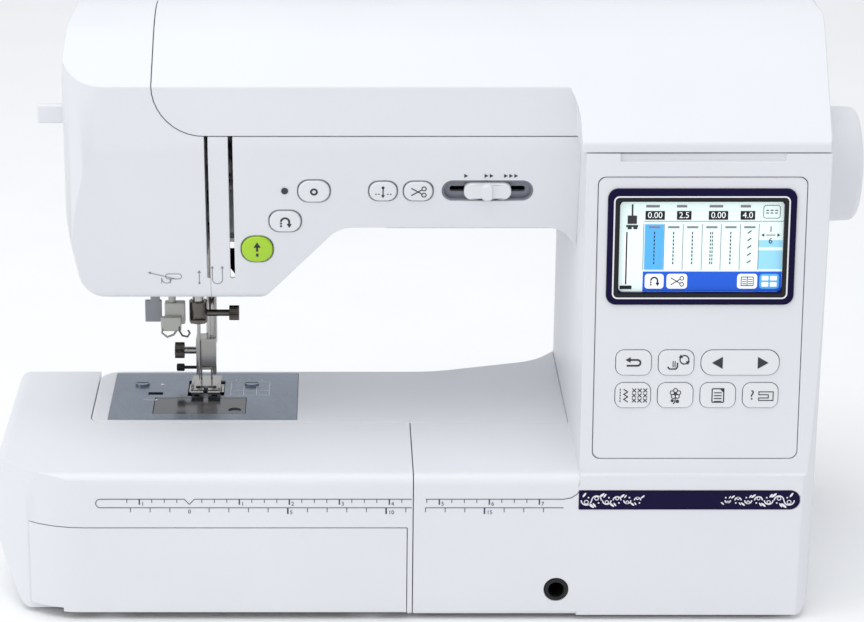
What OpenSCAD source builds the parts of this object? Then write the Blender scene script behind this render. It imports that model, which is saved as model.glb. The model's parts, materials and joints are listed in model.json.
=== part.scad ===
// Computerised sewing machine with a slide-off flat bed, a hinged top lid and a touch panel.
// +X points to the handwheel, -Y to the person sewing, +Z up. Z = 0 is the table.

/* [Overall] */
// Distance from the needle to the column's left face
reach = 198; // [165:1:240]
// Width of the column that holds the control panel
column_w = 122; // [100:1:148]
// Depth of the whole machine from bed front to handle
depth = 214; // [178:1:258]
// Height of the bed's top face above the table
bed_top = 80; // [74:1:96]
// Height of the gap between bed and arm
throat_h = 114; // [95:1:138]
// Height of the arm and lid above the gap
arm_h = 110; // [96:1:132]

/* [Casing] */
// Thickness of the moulded covers
wall = 2.6; // [2:0.1:3.2]
// Gap shown between two covers
seam = 0.4; // [0.3:0.1:0.6]
// Lean of the column's front face
panel_lean = 5; // [2:0.5:7]
// Distance from the needle to the left end of the bed
bed_over = 106; // [100:1:125]
// Radius of the bed's front left corner in plan
bed_corner = 52; // [35:1:60]

/* [Mechanism] */
// Radius of the main shaft
shaft_r = 4; // [3:0.5:5]
// Radial running clearance of shafts and bars
run_gap = 0.06; // [0.03:0.01:0.1]
// Travel of the needle bar
needle_stroke = 31; // [25:1:33]
// Radius of the needle bar
needle_bar_r = 3.2; // [2.8:0.1:3.6]
// Radius of the presser bar
presser_bar_r = 3; // [2.6:0.1:3.6]
// Gap under the presser foot while it is up
foot_gap = 1.5; // [1:0.1:3]
// Radius of the rotary hook
hook_r = 18; // [16:0.5:19]
// Thickness of the needle plate
plate_t = 1.6; // [1.2:0.1:2]

/* [Controls] */
// Diameter of the handwheel
wheel_d = 62; // [52:1:70]
// Length of the handwheel along its axis
wheel_w = 24; // [20:1:28]
// Pitch of the panel keys
key_pitch = 21.4; // [20:0.1:22.5]
// Height of one panel key
key_h = 12.8; // [10:0.1:14]
// Clearance round a button or key
key_gap = 0.3; // [0.2:0.05:0.5]
// Radius of the bore of the knee lifter socket
knee_bore_r = 4; // [3:0.5:4.5]

/* [Hidden] */
$fn = 48;
eps = 0.02;
play = 0.3;

// Driving places along X, Z and Y
needle_x = -reach + 76;
col_x = 76;
body_right = col_x + column_w;
bulge = 5;
bed_end = needle_x - bed_over;
bed_swell = 2.7;
wheel_x = body_right + bulge + 1;
wheel_end = wheel_x + wheel_w;
centre_x = (bed_end + wheel_end) / 2;
needle_y = 13;
front_y = -depth / 2;
rear_y = depth / 2;
base_z = 2.5;
arm_z = bed_top + throat_h;
head_z = arm_z - 41;
seam_z = arm_z + 51;
top_z = arm_z + arm_h;
shaft_z = arm_z + 16;
low_z = 26;

// Covers
split_x = needle_x + 114;
split_y = needle_y + 22;
free_front = needle_y - 45;
free_rear = needle_y + 33;
free_end = needle_x - 56;
body_rear = rear_y - 7;
neck_rear = rear_y - 17;
arm_rear = rear_y - 23;
arm_front_low = needle_y - 56;
arm_front = needle_y - 73;
col_front = front_y + 2;
col_front_top = col_front + (seam_z - bed_top) * tan(panel_lean);
head_end = needle_x - 66;
chan_x = needle_x + 8;
chan2_x = chan_x + 12;
chan_w = 1.8;
lid_end = chan_x - 26;
lid_hinge_y = arm_rear - 6;
rear_drop = 22;
lid_hinge_z = seam_z + 49 - rear_drop;
lid_pin_r = 2.2;
slope_top_y = needle_y - 23;
cut_x = col_x - 2;
tool_z = bed_top - plate_t;

// Control panel
panel_w = column_w - 18;
panel_z0 = bed_top + 8;
panel_z1 = seam_z - 12;
panel_h = (panel_z1 - panel_z0) / cos(panel_lean);
panel_cx = col_x + column_w / 2 - 3;
panel_cz = (panel_z0 + panel_z1) / 2;
bezel_w = panel_w - 10.5;
bezel_h = 59;
bezel_cy = panel_h / 2 - 6 - bezel_h / 2;
screen_w = bezel_w - 12;
screen_h = bezel_h - 12.6;
flange_t = 1.6;
key_w = key_pitch - 3.8;
row_1 = bezel_cy - bezel_h / 2 - 30;
row_2 = row_1 - key_h - 4.2;
key_up = 0.7;

// Arm front controls: height of the button row and the places of the rest
row_z = shaft_z + 5;
btn_up = 1.2;

// Mechanism places
presser_x = needle_x + 6.5;
presser_y = needle_y + 13;
hook_x = needle_x + 2;
hook_y = needle_y - hook_r - 1.2;
hook_z1 = bed_top - 9;
hook_z0 = hook_z1 - 18;
pulley_x = col_x + 84;
motor_y = needle_y - 38;
motor_z = bed_top + 40;
low_y = needle_y + 8;
timing_r = 12;
drive_r = 26;
motor_pulley_r = 8;
gear_r = low_y - hook_y - 14.3;

// ---------- outline helpers: a point is [x, y, corner radius] ----------
function unit(v) = v / norm(v);
function turn(a, b) = a[0] * b[1] - a[1] * b[0];
function flat(p) = [p[0], p[1]];
function corner(a, b, c, r) = r < 0.06 ? [b] :
    let (u = unit(b - a), w = unit(c - b), s = sign(turn(u, w)),
         bend = acos(max(-1, min(1, u * w))),
         p = b - u * r * tan(bend / 2),
         hub = p + s * r * [-u[1], u[0]],
         from = atan2(p[1] - hub[1], p[0] - hub[0]),
         steps = max(2, ceil(bend / 9)))
    [for (i = [0 : steps]) hub + r * [cos(from + s * bend * i / steps), sin(from + s * bend * i / steps)]];
function path(P) = let (n = len(P))
    [for (i = [0 : n - 1]) each corner(flat(P[(i + n - 1) % n]), flat(P[i]), flat(P[(i + 1) % n]),
        P[i][2])];
// The outline moved inwards by t; its points run anticlockwise.
function inset(P, t) = let (n = len(P)) [for (i = [0 : n - 1])
    let (a = flat(P[(i + n - 1) % n]), b = flat(P[i]), c = flat(P[(i + 1) % n]),
         u = unit(b - a), w = unit(c - b), m = [-u[1], u[0]] + [-w[1], w[0]],
         k = 1 + u[0] * w[0] + u[1] * w[1])
    [b[0] + m[0] * t / k, b[1] + m[1] * t / k, P[i][2] == 0 ? 0 : max(0.3, P[i][2] - sign(turn(u,
        w)) * t)]];

module plan(P, z0, z1) { translate([0, 0, z0]) linear_extrude(z1 - z0) polygon(path(P)); }
module front(P, y0, y1) { translate([0, y1, 0]) rotate([90, 0, 0]) linear_extrude(y1 - y0)
    polygon(path(P)); }
module side(P, x0, x1) { translate([x0, 0, 0]) rotate([90, 0, 90]) linear_extrude(x1 - x0)
    polygon(path(P)); }
module box(a, b) { translate(a) cube(b - a); }
module rod_x(x0, x1, y, z, r) { translate([x0, y, z]) rotate([0, 90, 0]) cylinder(h = x1 - x0, r = r); }
module rod_y(y0, y1, x, z, r) { translate([x, y1, z]) rotate([90, 0, 0]) cylinder(h = y1 - y0, r = r); }
module rod_z(z0, z1, x, y, r) { translate([x, y, z0]) cylinder(h = z1 - z0, r = r); }
function rect(w, h, r) = [[-w / 2, -h / 2, r], [w / 2, -h / 2, r], [w / 2, h / 2, r], [-w / 2, h / 2, r]];

// ---------- outer shape of the machine ----------
// Plan of the fixed bed and column, from the split at the flat bed to the back.
function body_plan() = [[split_x, front_y, 0], [body_right - 2, front_y, 20], [body_right + bulge, -5, 240],
    [body_right, body_rear, 26], [col_x + 14, body_rear, 18], [col_x - 12, free_rear + 18, 30],
    [col_x - 70, free_rear, 60], [split_x, free_rear, 0]];
function column_plan() = [[col_x, front_y - 5, 0], [body_right - 2, front_y - 5, 22],
    [body_right + bulge, -5, 240], [body_right, body_rear, 26], [col_x, body_rear, 22]];
function column_side() = [[body_rear, base_z, 0], [body_rear, bed_top + 24, 14], [neck_rear,
    bed_top + 44, 14],
    [neck_rear - 2, seam_z, 0], [col_front_top, seam_z, 0], [col_front, bed_top, 1.4], [front_y,
        bed_top, 0],
    [front_y, base_z, 0]];
function column_face() = [[col_x, base_z, 0], [body_right - 5, base_z, 4], [body_right + 8,
    base_z + 38, 30],
    [body_right + 8, seam_z, 0], [col_x, seam_z, 0]];
function bed_side() = [[body_rear + 4, base_z, 0], [body_rear + 4, bed_top, 0], [front_y, bed_top, 6],
    [front_y, base_z, 3]];
// Arm and head seen from the front, up to the lid's seam.
function arm_face() = [[head_end + 10, head_z, 16], [needle_x + 37, head_z, 9], [needle_x + 76, arm_z, 16],
    [col_x, arm_z, 16], [col_x, arm_z - 26, 0], [body_right + 8, arm_z - 26, 0], [body_right + 8,
        seam_z, 0],
    [head_end, seam_z, 0], [head_end + 1, head_z + 50, 60]];
function arm_side(z1) = [[arm_rear, head_z, 10], [arm_rear, z1, 0], [arm_front, z1, 0],
    [arm_front, seam_z - 6, 30], [arm_front_low, head_z, 5]];
function arm_plan() = [[head_end + 2, arm_front, 22], [lid_end, arm_front, 0], [lid_end,
    arm_front - 5, 0], [body_right + 20, arm_front - 5, 0],
    [body_right + 20, arm_rear, 0], [head_end + 3, arm_rear, 30], [head_end, needle_y - 10, 200]];
// The whole upper part above the seam: the long slope at the front, the round top that falls
// away to the rear.
function top_side() = [[arm_rear, seam_z - 1, 0], [arm_rear, top_z - rear_drop, 30], [slope_top_y, top_z, 60],
    [col_front_top, seam_z + 5, 3], [col_front_top, seam_z - 1, 0]];
function top_plan() = [[head_end + 2, arm_front, 22], [lid_end, arm_front, 0], [lid_end, front_y, 0],
    [body_right - 2, front_y, 22], [body_right + bulge, -5, 240], [body_right, arm_rear, 26],
    [head_end + 4, arm_rear, 30], [head_end, needle_y - 10, 200]];
function top_face() = [[head_end, seam_z - 1, 0], [body_right + 8, seam_z - 1, 0], [body_right + 7,
    top_z, 16],
    [head_end + 4, top_z, 15]];
// Part of the slope that is cut back to the arm's front face.
function step_face() = [[head_end - 20, seam_z - 20, 0], [cut_x, seam_z - 20, 0], [cut_x, seam_z + 34, 22],
    [head_end - 20, seam_z + 34, 0]];
// Outline of the lid seen from the front.
function lid_face() = [[lid_end, seam_z, 26], [body_right + 30, seam_z, 0], [body_right + 30,
    top_z + 30, 0],
    [lid_end, top_z + 30, 0]];

module column_block(t) {
    intersection() {
        front(inset(column_face(), t), front_y - 9, rear_y + 9);
        side(inset(column_side(), t), col_x - 50, body_right + 50);
        plan(inset(column_plan(), t), 0, seam_z + 9);
    }
}
module bed_block(t) {
    intersection() {
        plan(inset(body_plan(), t), base_z - 1, bed_top + 1);
        side(inset(bed_side(), t), split_x - 9, body_right + 50);
        box([split_x - 9, front_y - 9, 0], [body_right - 10, rear_y + 9, bed_top + 9]);
    }
}
module arm_block(t) {
    intersection() {
        front(inset(arm_face(), t), front_y - 9, rear_y + 9);
        side(inset(arm_side(seam_z + 2 * t), t), head_end - 9, body_right - 20);
        plan(inset(arm_plan(), t), head_z - 9, seam_z + 9);
    }
}
module top_block(t) {
    difference() {
        intersection() {
            side(inset(top_side(), t), head_end - 9, body_right + 50);
            plan(inset(top_plan(), t), seam_z - 9, top_z + 9);
            front(inset(top_face(), t), front_y - 9, rear_y + 9);
        }
        front(inset(step_face(), -t), front_y - 20, arm_front + t);
    }
}
module housing() {
    difference() {
        union() {
            column_block(0);
            bed_block(0);
            arm_block(0);
        }
        column_block(wall);
        bed_block(wall);
        arm_block(wall);
        open_top();
        pan_space();
    }
}
// The covers are open upwards, where the inner deck and the lid close them.
module open_top() {
    translate([0, 0, wall + 2]) intersection() {
        union() {
            column_block(wall);
            arm_block(wall);
        }
        box([head_end, front_y, seam_z - 20], [wheel_end, rear_y, seam_z]);
    }
}
module pan_space() {
    intersection() {
        plan(inset(body_plan(), wall), base_z - 1, base_z + wall + eps);
        box([split_x, front_y, base_z - 1], [body_right - 12, rear_y, base_z + 9]);
    }
}
module tilt_on_panel(x, y, out) {
    y0 = col_front + (panel_cz - bed_top) * tan(panel_lean);
    translate([panel_cx, y0, panel_cz]) rotate([90 - panel_lean, 0, 0]) translate([x, y, out]) children();
}
arm_lean = atan((arm_front_low - arm_front) / (seam_z - 6 - head_z));
module tilt_on_arm(x, z, out) {
    y0 = arm_front + (seam_z - 6 - z) * tan(arm_lean);
    translate([x, y0, z]) rotate([90 + arm_lean, 0, 0]) translate([0, 0, out]) children();
}

// Places shared by covers, mechanism and controls
knee_x = col_x - 10.5;
knee_z = 17;
knee_r = 6;
foot_x = needle_x + 3.5;
plate_x0 = needle_x - 47;
plate_screws = [needle_x - 32, needle_x + 28];
plate_x1 = needle_x + 53.5;
plate_y0 = free_front + 4;
plate_y1 = free_rear - 3;
cover_x0 = hook_x - 26;
cover_x1 = hook_x + 24;
cover_y0 = hook_y - 13.5;
cover_y1 = needle_y - 8.5;
feed_rows = [-8.6, -4.8, 4.8, 8.6];
hinge_places = [lid_end + 70, body_right - 48];
handle_ends = [col_x - 86, col_x + 70];
handle_y = rear_y - 7;
handle_z = seam_z - 9;
handle_pin_r = 3;
handle_len = 76;
threader_y = needle_y - 20;
threader_z = seam_z - 1;
frame_y0 = needle_y + 17;
frame_y1 = needle_y + 29;
post_x0 = col_x + 20;
post_x1 = col_x + 60;
socket_y = split_y + 5;
socket_w = 32;
socket_z = base_z + 16;
socket_h = 54;
socket_x = body_right - 3;
spool_x = col_x + 10;
spool_y = needle_y + 18;
spool_z = seam_z + 24;
winder_x = body_right - 52;
winder_y = needle_y - 20;
winder_r = 2.9;
spool_r = 2.8;
foot_r = 8;
foot_places = [[split_x + 24, front_y + 26], [body_right - 26, front_y + 26], [body_right - 26,
    body_rear - 26],
    [col_x + 22, body_rear - 26], [free_end + 22, needle_y - 6], [needle_x + 74, needle_y - 6]];
take_x = chan_x + 0.3;
take_y = needle_y - 18;
take_z = arm_z + 10;
strip_x0 = col_x;
strip_x1 = body_right - 10;
strip_z0 = bed_top - 18.3;
strip_z1 = bed_top - 8.2;
door_z = bed_top - 29;
door_y = front_y + 9;
door_x1 = split_x - seam - 3;
door_pin_y = front_y + wall + 3.4;
door_pin_z = base_z + 4.5;
door_pin_r = 1.8;
door_hinges = [bed_end + 60, split_x - 26];

// ---------- covers ----------
module front_cover() {
    color("whitesmoke") difference() {
        intersection() {
            housing();
            box([chan_x + chan_w, front_y - 1, 0], [wheel_end, split_y, seam_z - seam]);
        }
        box([split_x - 9, free_front - seam, 0], [col_x, rear_y, bed_top + 1]);
        tilt_on_panel(0, 0, 0) pill_hole(panel_w, panel_h, 4, 9);
        arm_holes();
        // right thread channel, seen as a slot in the front of the head
        box([chan2_x, arm_front - 9, head_z + 12], [chan2_x + 2.3, arm_front_low + 8, seam_z + 1]);
        head_mouth();
        front_strip(0.1);
        rod_x(body_right - 9, wheel_end, needle_y, shaft_z, shaft_r + 2);
        rod_y(front_y - 9, front_y + 9, knee_x, knee_z, knee_r + play);
        // finger recess under the lid's edge
        box([panel_cx - 41, front_y, seam_z - 4.5], [panel_cx + 41, col_front_top + 1.2, seam_z + 1]);
        rod_z(base_z - 1, base_z + 1, split_x + 24, front_y + 26, foot_r + play);
    }
}
module rear_cover() {
    color("whitesmoke") difference() {
        union() {
            intersection() {
                housing();
                box([chan_x + chan_w, split_y, 0], [wheel_end, rear_y, seam_z - seam]);
            }
            // back wall above the seam, behind the bay
            intersection() {
                lid_shell();
                front(inset(lid_face(), seam), front_y, rear_y);
                box([lid_end - 9, lid_hinge_y, 0], [wheel_end, rear_y, lid_hinge_z - 16]);
            }
            box([lid_end + 32, arm_rear - wall, seam_z - 9], [body_right - 40, arm_rear, seam_z + 3]);
            for (x = handle_ends) handle_lug(x);
        }
        box([split_x - 9, free_front - seam, 0], [col_x, rear_y, bed_top + 1]);
        head_mouth();
        box([presser_x + 6, split_y - 1, head_z - 1], [needle_x + 74, lever_y + 6, head_z + 46]);
        box([socket_x - 9, socket_y, socket_z], [socket_x + 30, socket_y + socket_w, socket_z + socket_h]);
        rod_x(body_right - 9, wheel_end, needle_y, shaft_z, shaft_r + 2);
        // cooling slots in the back of the column
        for (i = [0 : 7]) box([col_x + 34 + i * 7, neck_rear - 12, bed_top + 62],
            [col_x + 37 + i * 7, rear_y, bed_top + 92]);
    }
}
module handle_lug(x) {
    box([x - 5, arm_rear - wall, handle_z - 6], [x + 5, handle_y, handle_z + 6]);
    rod_x(x - 5, x + 5, handle_y, handle_z, 6);
    rod_x(x - 11, x + 11, handle_y, handle_z, handle_pin_r);
}
// The open underside of the head, where the needle and presser bars come out.
module head_mouth() {
    box([head_end + 22, arm_front_low + 14, head_z - 1], [needle_x + 28, needle_y + 21.9,
        head_z + wall + 3]);
}
module face_cover() {
    color("white") difference() {
        intersection() {
            difference() {
                union() {
                    arm_block(0);
                    top_block(0);
                }
                arm_block(wall);
                top_block(wall);
                open_top();
                open_below();
            }
            union() {
                box([head_end - 9, front_y, 0], [chan_x, rear_y, top_z + 9]);
                box([head_end - 9, front_y, 0], [chan_x + chan_w, rear_y, head_z + 12]);
            }
        }
        front(inset(lid_face(), -seam), front_y - 9, rear_y + 9);
        head_mouth();
        // slot of the threader lever
        box([head_end - 9, threader_y - 3.4, threader_z - 52], [head_end + 9, threader_y + 3.4,
            threader_z + 5]);
    }
}
function free_plan() = [[free_end, free_front, 8], [col_x, free_front, 0],
    [col_x, free_rear + 18 + (body_rear - free_rear - 18) * 12 / 26, 0], [col_x - 12, free_rear + 18, 30],
    [col_x - 70, free_rear, 60], [free_end, free_rear, 12]];
module free_arm_shell() {
    difference() {
        plan(free_plan(), base_z, bed_top);
        plan(inset(free_plan(), wall), base_z - 1, bed_top - wall);
        box([col_x - wall - 1, free_front + wall, base_z - 1], [col_x + 9, free_rear + 18, bed_top - wall]);
    }
}
module free_arm_cover() {
    color("white") difference() {
        free_arm_shell();
        box([plate_x0, plate_y0, tool_z], [plate_x1, plate_y1, bed_top + 1]);
        box([plate_x0 + 2, plate_y0 + 2, bed_top - 9], [plate_x1 - 2, plate_y1 - 2, bed_top + 1]);
    }
}
module needle_plate() {
    color("lightsteelblue") difference() {
        union() {
            box([plate_x0, plate_y0, tool_z], [plate_x1, plate_y1, bed_top]);
            for (x = plate_screws) rod_z(bed_top - 0.5, bed_top + 1.2, x, needle_y + 12, 4);
        }
        box([cover_x0, cover_y0, tool_z - 1], [cover_x1, cover_y1, bed_top + 1]);
        for (x = feed_rows) box([foot_x + x - 1.4, needle_y - 6, tool_z - 1],
            [foot_x + x + 1.4, needle_y + 18, bed_top + 1]);
        box([foot_x - 5, needle_y - 1.3, tool_z - 1], [foot_x + 5.2, needle_y + 1.3, bed_top + 1]);
        for (x = plate_screws)
            box([x - 3.4, needle_y + 11.5, bed_top + 0.6], [x + 3.4, needle_y + 12.5, bed_top + 2]);
        box([needle_x - 28, needle_y - 4, tool_z - 1], [needle_x - 20, needle_y, bed_top + 1]);
    }
}
module bobbin_cover() {
    color("dimgray") difference() {
        box([cover_x0 + play, cover_y0 + play, tool_z], [cover_x1 - play, cover_y1 - play, bed_top - 0.1]);
        rod_z(bed_top - 0.9, bed_top + 1, cover_x1 - 6, cover_y0 + 6, 3.4);
    }
}
module base_pan() {
    color("gainsboro") difference() {
        union() {
            intersection() {
                plan(inset(body_plan(), wall), base_z, base_z + wall);
                box([split_x, front_y, base_z], [body_right - 12, rear_y, base_z + 9]);
            }
            plan(inset(free_plan(), wall), base_z, base_z + wall);
            for (x = [post_x0 + 6, post_x1 - 6, free_end + 40])
                rod_z(base_z, low_z - 12, x, frame_y0 + 6, 6);
        }
        free_arm_shell();
        for (p = foot_places) rod_z(base_z - 1, base_z + 1.5, p[0], p[1], foot_r);
    }
}
module rubber_feet() { color("dimgray") for (p = foot_places) rod_z(0, base_z + 1.5, p[0], p[1], foot_r); }
module hinge_post(x) {
    box([x - 3, lid_hinge_y - 5, seam_z - wall], [x + 3, lid_hinge_y + 3, lid_hinge_z]);
    rod_x(x - 3, x + 3, lid_hinge_y, lid_hinge_z, 4.2);
    rod_x(x - 9, x + 9, lid_hinge_y, lid_hinge_z, lid_pin_r);
}
module inner_deck() {
    color("gainsboro") difference() {
        union() {
            intersection() {
                column_block(wall);
                box([col_x + 9, front_y, seam_z - wall - 2.5], [body_right + 9, arm_rear - 3,
                    seam_z - wall]);
            }
            box([chan2_x + 6, arm_front + wall + 1, seam_z - wall - 2.5], [col_x + 9,
                arm_rear - wall, seam_z - wall]);
            for (x = hinge_places) hinge_post(x);
            // bracket and pin of the thread spool
            box([spool_x - 8, spool_y - 8, seam_z - wall - 1], [spool_x, spool_y + 8, spool_z + 8]);
            rod_x(spool_x - 1, spool_x + 62, spool_y, spool_z, spool_r);
        }
        rod_z(seam_z - 9, seam_z + 9, winder_x, winder_y, winder_r + run_gap);
    }
}
module spool_cap() {
    color("white") difference() {
        union() {
            rod_x(spool_x + 46, spool_x + 49, spool_y, spool_z, 13);
            rod_x(spool_x + 49, spool_x + 57, spool_y, spool_z, 5);
        }
        rod_x(spool_x + 40, spool_x + 60, spool_y, spool_z, spool_r + run_gap);
    }
}
module winder() {
    color("white") {
        rod_z(seam_z - 12, seam_z + 16, winder_x, winder_y, winder_r);
        rod_z(seam_z - wall + play, seam_z + 2, winder_x, winder_y, 10);
    }
}
module front_strip(grow) {
    P = [[strip_x0, strip_z0 - grow, 0], [strip_x1 + grow, strip_z0 - grow, 5], [strip_x1 + grow,
        strip_z1 + grow, 5],
        [strip_x0, strip_z1 + grow, 0]];
    front(P, front_y - (grow > 0 ? 9 : 0.3), front_y + 0.8);
}
module trim_strip() { color("midnightblue") front_strip(0); }

// ---------- cast frame, shafts and motor ----------
module machine_frame() {
    color("darkgray") difference() {
        union() {
            box([free_end + 12, frame_y0, low_z - 12], [post_x1, frame_y1, low_z + 18]);
            box([post_x0, frame_y0, low_z - 12], [post_x1, frame_y1, seam_z - 20]);
            box([needle_x - 30, frame_y0, shaft_z - 12], [post_x1, frame_y1, shaft_z + 14]);
            // main shaft bearings
            for (x = [needle_x + 22, post_x0 + 10]) box([x, needle_y - 9, shaft_z - 9], [x + 10,
                frame_y0, shaft_z + 9]);
            // lower shaft bearings
            for (x = [needle_x + 40, post_x0 + 10]) box([x, low_y - 9, low_z - 9], [x + 10, frame_y0,
                low_z + 9]);
            // presser bar guides
            for (z = [head_z + 22, shaft_z - 12]) box([presser_x - 6, presser_y - 6, z],
                [presser_x + 6, frame_y0, z + 7]);
            box([presser_x - 6, frame_y0, head_z + 20], [presser_x + 6, frame_y0 + 4, shaft_z]);
            // pin that carries the swinging needle bar frame
            rod_y(needle_y - 12, frame_y0, needle_x, shaft_z + 20, 2.5);
            rod_y(frame_y0 - 3, frame_y0 + 6, needle_x - 1, shaft_z + 19, 6);
            // pin of the take-up lever
            box([needle_x + 22, take_y - 5, take_z - 5], [needle_x + 28, needle_y - 9, take_z + 5]);
            rod_x(take_x - 0.1, needle_x + 23, take_y, take_z, 2.5);
            // motor bracket and presser lever pivot
            box([post_x0 + 3, motor_y - 20, motor_z - 20], [post_x0 + 9, frame_y0 + 1, motor_z + 20]);
            rod_y(frame_y1 - 1, lever_y + 4, lever_x, lever_z, 3);
            box([lever_x - 5, frame_y0, lever_z - 5], [lever_x + 5, frame_y1, shaft_z]);
            // hook bracket
            box([hook_x - 22, hook_y - 4, low_z - 9], [hook_x - 16, frame_y0, hook_z0 - 3]);
            box([hook_x - 22, hook_y - 8, hook_z0 - 8], [hook_x + 8, hook_y + 8, hook_z0 - 3]);
        }
        rod_x(needle_x, wheel_end, needle_y, shaft_z, shaft_r + run_gap);
        rod_x(needle_x - 30, wheel_end, low_y, low_z, shaft_r + run_gap);
        rod_z(head_z, seam_z, presser_x, presser_y, presser_bar_r + run_gap);
        rod_z(low_z, hook_z0, hook_x, hook_y, 3 + run_gap);
        rod_x(post_x0, post_x0 + 20, motor_y, motor_z, 9);
        // room for the hook's gear and for the presser bar's collar
        rod_x(hook_x - 8, hook_x + 8, low_y, low_z, gear_r + 1.6);
        rod_z(head_z + 30, shaft_z - 12, presser_x, presser_y, 6.2);
    }
}
lever_x = needle_x + 22;
lever_y = frame_y1 + 6;
lever_z = head_z + 18;
module main_shaft() {
    color("silver") {
        rod_x(needle_x + 14, wheel_end - 6, needle_y, shaft_z, shaft_r);
        rod_x(needle_x + 14, needle_x + 19, needle_y, shaft_z, 14);
        rod_x(needle_x + 10, needle_x + 15, needle_y, shaft_z + needle_stroke / 2 - 5, 2);
        rod_x(pulley_x - 5, pulley_x + 5, needle_y, shaft_z, timing_r);
        rod_x(pulley_x + 8, pulley_x + 16, needle_y, shaft_z, drive_r);
    }
}
module handwheel() {
    color("white") difference() {
        union() {
            translate([wheel_x, needle_y, shaft_z]) rotate([0, 90, 0]) rotate_extrude()
                polygon(path([[0, 0, 0], [wheel_d / 2, 0, 0.8], [wheel_d / 2 - 1, wheel_w, 4], [0,
                    wheel_w - 0.6, 0]]));
        }
        rod_x(wheel_x - 1, wheel_end - 6, needle_y, shaft_z, shaft_r);
    }
}
module lower_shaft() {
    color("silver") {
        rod_x(hook_x - 8, pulley_x + 5, low_y, low_z, shaft_r);
        rod_x(pulley_x - 5, pulley_x + 5, low_y, low_z, timing_r);
        rod_x(hook_x - 6, hook_x + 6, low_y, low_z, gear_r);
    }
}
module rotary_hook() {
    color("silver") difference() {
        union() {
            rod_z(hook_z0, hook_z1, hook_x, hook_y, hook_r);
            rod_z(low_z - 5, hook_z0 + 1, hook_x, hook_y, 3);
            rod_z(low_z - 5, low_z + 5, hook_x, hook_y, 14);
        }
        rod_z(hook_z0 + 2.5, hook_z1 + 1, hook_x, hook_y, hook_r - 2);
    }
}
module bobbin_case() {
    color("black") difference() {
        union() {
            rod_z(hook_z0 + 3, hook_z1 + 1, hook_x, hook_y, hook_r - 2.4);
            box([hook_x - 4, hook_y - hook_r - 5, hook_z1 + 0.3], [hook_x + 4, hook_y - hook_r + 6,
                hook_z1 + 1.4]);
            box([hook_x - 4, free_front + wall, hook_z1 - 8], [hook_x + 4, hook_y - hook_r - 1,
                hook_z1 + 1.4]);
        }
        rod_z(hook_z0 + 5, hook_z1 + 3, hook_x, hook_y, hook_r - 4.2);
    }
}
bobbin_r = 10.2;
module bobbin() {
    color("lightcyan") translate([hook_x, hook_y, hook_z0 + 5.4]) rotate_extrude()
        polygon([[3, 0], [bobbin_r, 0], [bobbin_r, 1], [4.6, 1], [4.6, 10.5], [bobbin_r, 10.5],
            [bobbin_r, 11.5], [3, 11.5]]);
}
module main_motor() {
    color("dimgray") {
        rod_x(post_x0 + 9, post_x0 + 56, motor_y, motor_z, 24);
        rod_x(post_x0 + 56, post_x0 + 62, motor_y, motor_z, 9);
        rod_x(post_x0 + 61, pulley_x + 12, motor_y, motor_z, 4 - run_gap);
    }
}
module motor_pulley() {
    color("silver") {
        difference() {
            rod_x(post_x0 + 62.5, pulley_x + 17, motor_y, motor_z, motor_pulley_r);
            rod_x(post_x0, pulley_x + 12, motor_y, motor_z, 4);
        }
    }
}
module loop_belt(x0, x1, a, ra, b, rb, t) {
    // a and b are the [y, z] centres of the two pulleys
    translate([x0, 0, 0]) rotate([90, 0, 90]) linear_extrude(x1 - x0) difference() {
        belt_outline(a, ra + t, b, rb + t);
        belt_outline(a, ra, b, rb);
    }
}
module belt_outline(a, ra, b, rb) {
    hull() {
        translate(a) circle(r = ra, $fn = 32);
        translate(b) circle(r = rb, $fn = 32);
    }
}
module belts() {
    color("black") {
        loop_belt(pulley_x - 4, pulley_x + 4, [needle_y, shaft_z], timing_r + play,
            [low_y, low_z], timing_r + play, 1.6);
        loop_belt(pulley_x + 9, pulley_x + 15, [needle_y, shaft_z], drive_r + play,
            [motor_y, motor_z], motor_pulley_r + play, 2);
    }
}
module main_board() {
    color("seagreen") {
        tilt_on_panel(0, 0, -14) slab(panel_w - 8, panel_h - 1, 2, 0, 1.6);
        for (x = [-1, 1], y = [-1, 1]) tilt_on_panel(x * (panel_w / 2 - 8), y * (panel_h / 2 - 2.7), -12.4)
            cylinder(h = 12.4 - wall - flange_t, r = 2);
    }
}

// ---------- needle, presser foot and feed ----------
clamp_z = bed_top + 41;
bar_top = head_z + 69;
module needle_bar_frame() {
    color("gray") difference() {
        union() {
            box([needle_x - 6, needle_y - 11, head_z + 10], [needle_x + 6, needle_y - 7, shaft_z + 26]);
            for (z = [head_z + 10, head_z + 28]) box([needle_x - 6, needle_y - 8, z], [needle_x + 6,
                needle_y + 5.6, z + 7]);
        }
        rod_z(head_z, seam_z, needle_x, needle_y, needle_bar_r + run_gap);
        rod_y(needle_y - 20, needle_y + 9, needle_x, shaft_z + 20, 2.5 + run_gap);
    }
}
module needle_bar() { color("silver") rod_z(clamp_z + 2, bar_top, needle_x, needle_y, needle_bar_r); }
module needle_clamp() {
    color("silver") {
        difference() {
            rod_z(clamp_z, clamp_z + 12, needle_x, needle_y, 5);
            rod_z(clamp_z + 2, clamp_z + 13, needle_x, needle_y, needle_bar_r);
            rod_z(clamp_z - 1, clamp_z + 2.5, needle_x, needle_y, 1);
        }
        rod_x(needle_x + 4, needle_x + 17, needle_y, clamp_z + 5, 1.8);
        rod_x(needle_x + 17, needle_x + 22, needle_y, clamp_z + 5, 3.6);
        box([needle_x - 4, needle_y - 7, clamp_z + 1], [needle_x + 4, needle_y - 4, clamp_z + 3]);
    }
}
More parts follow.
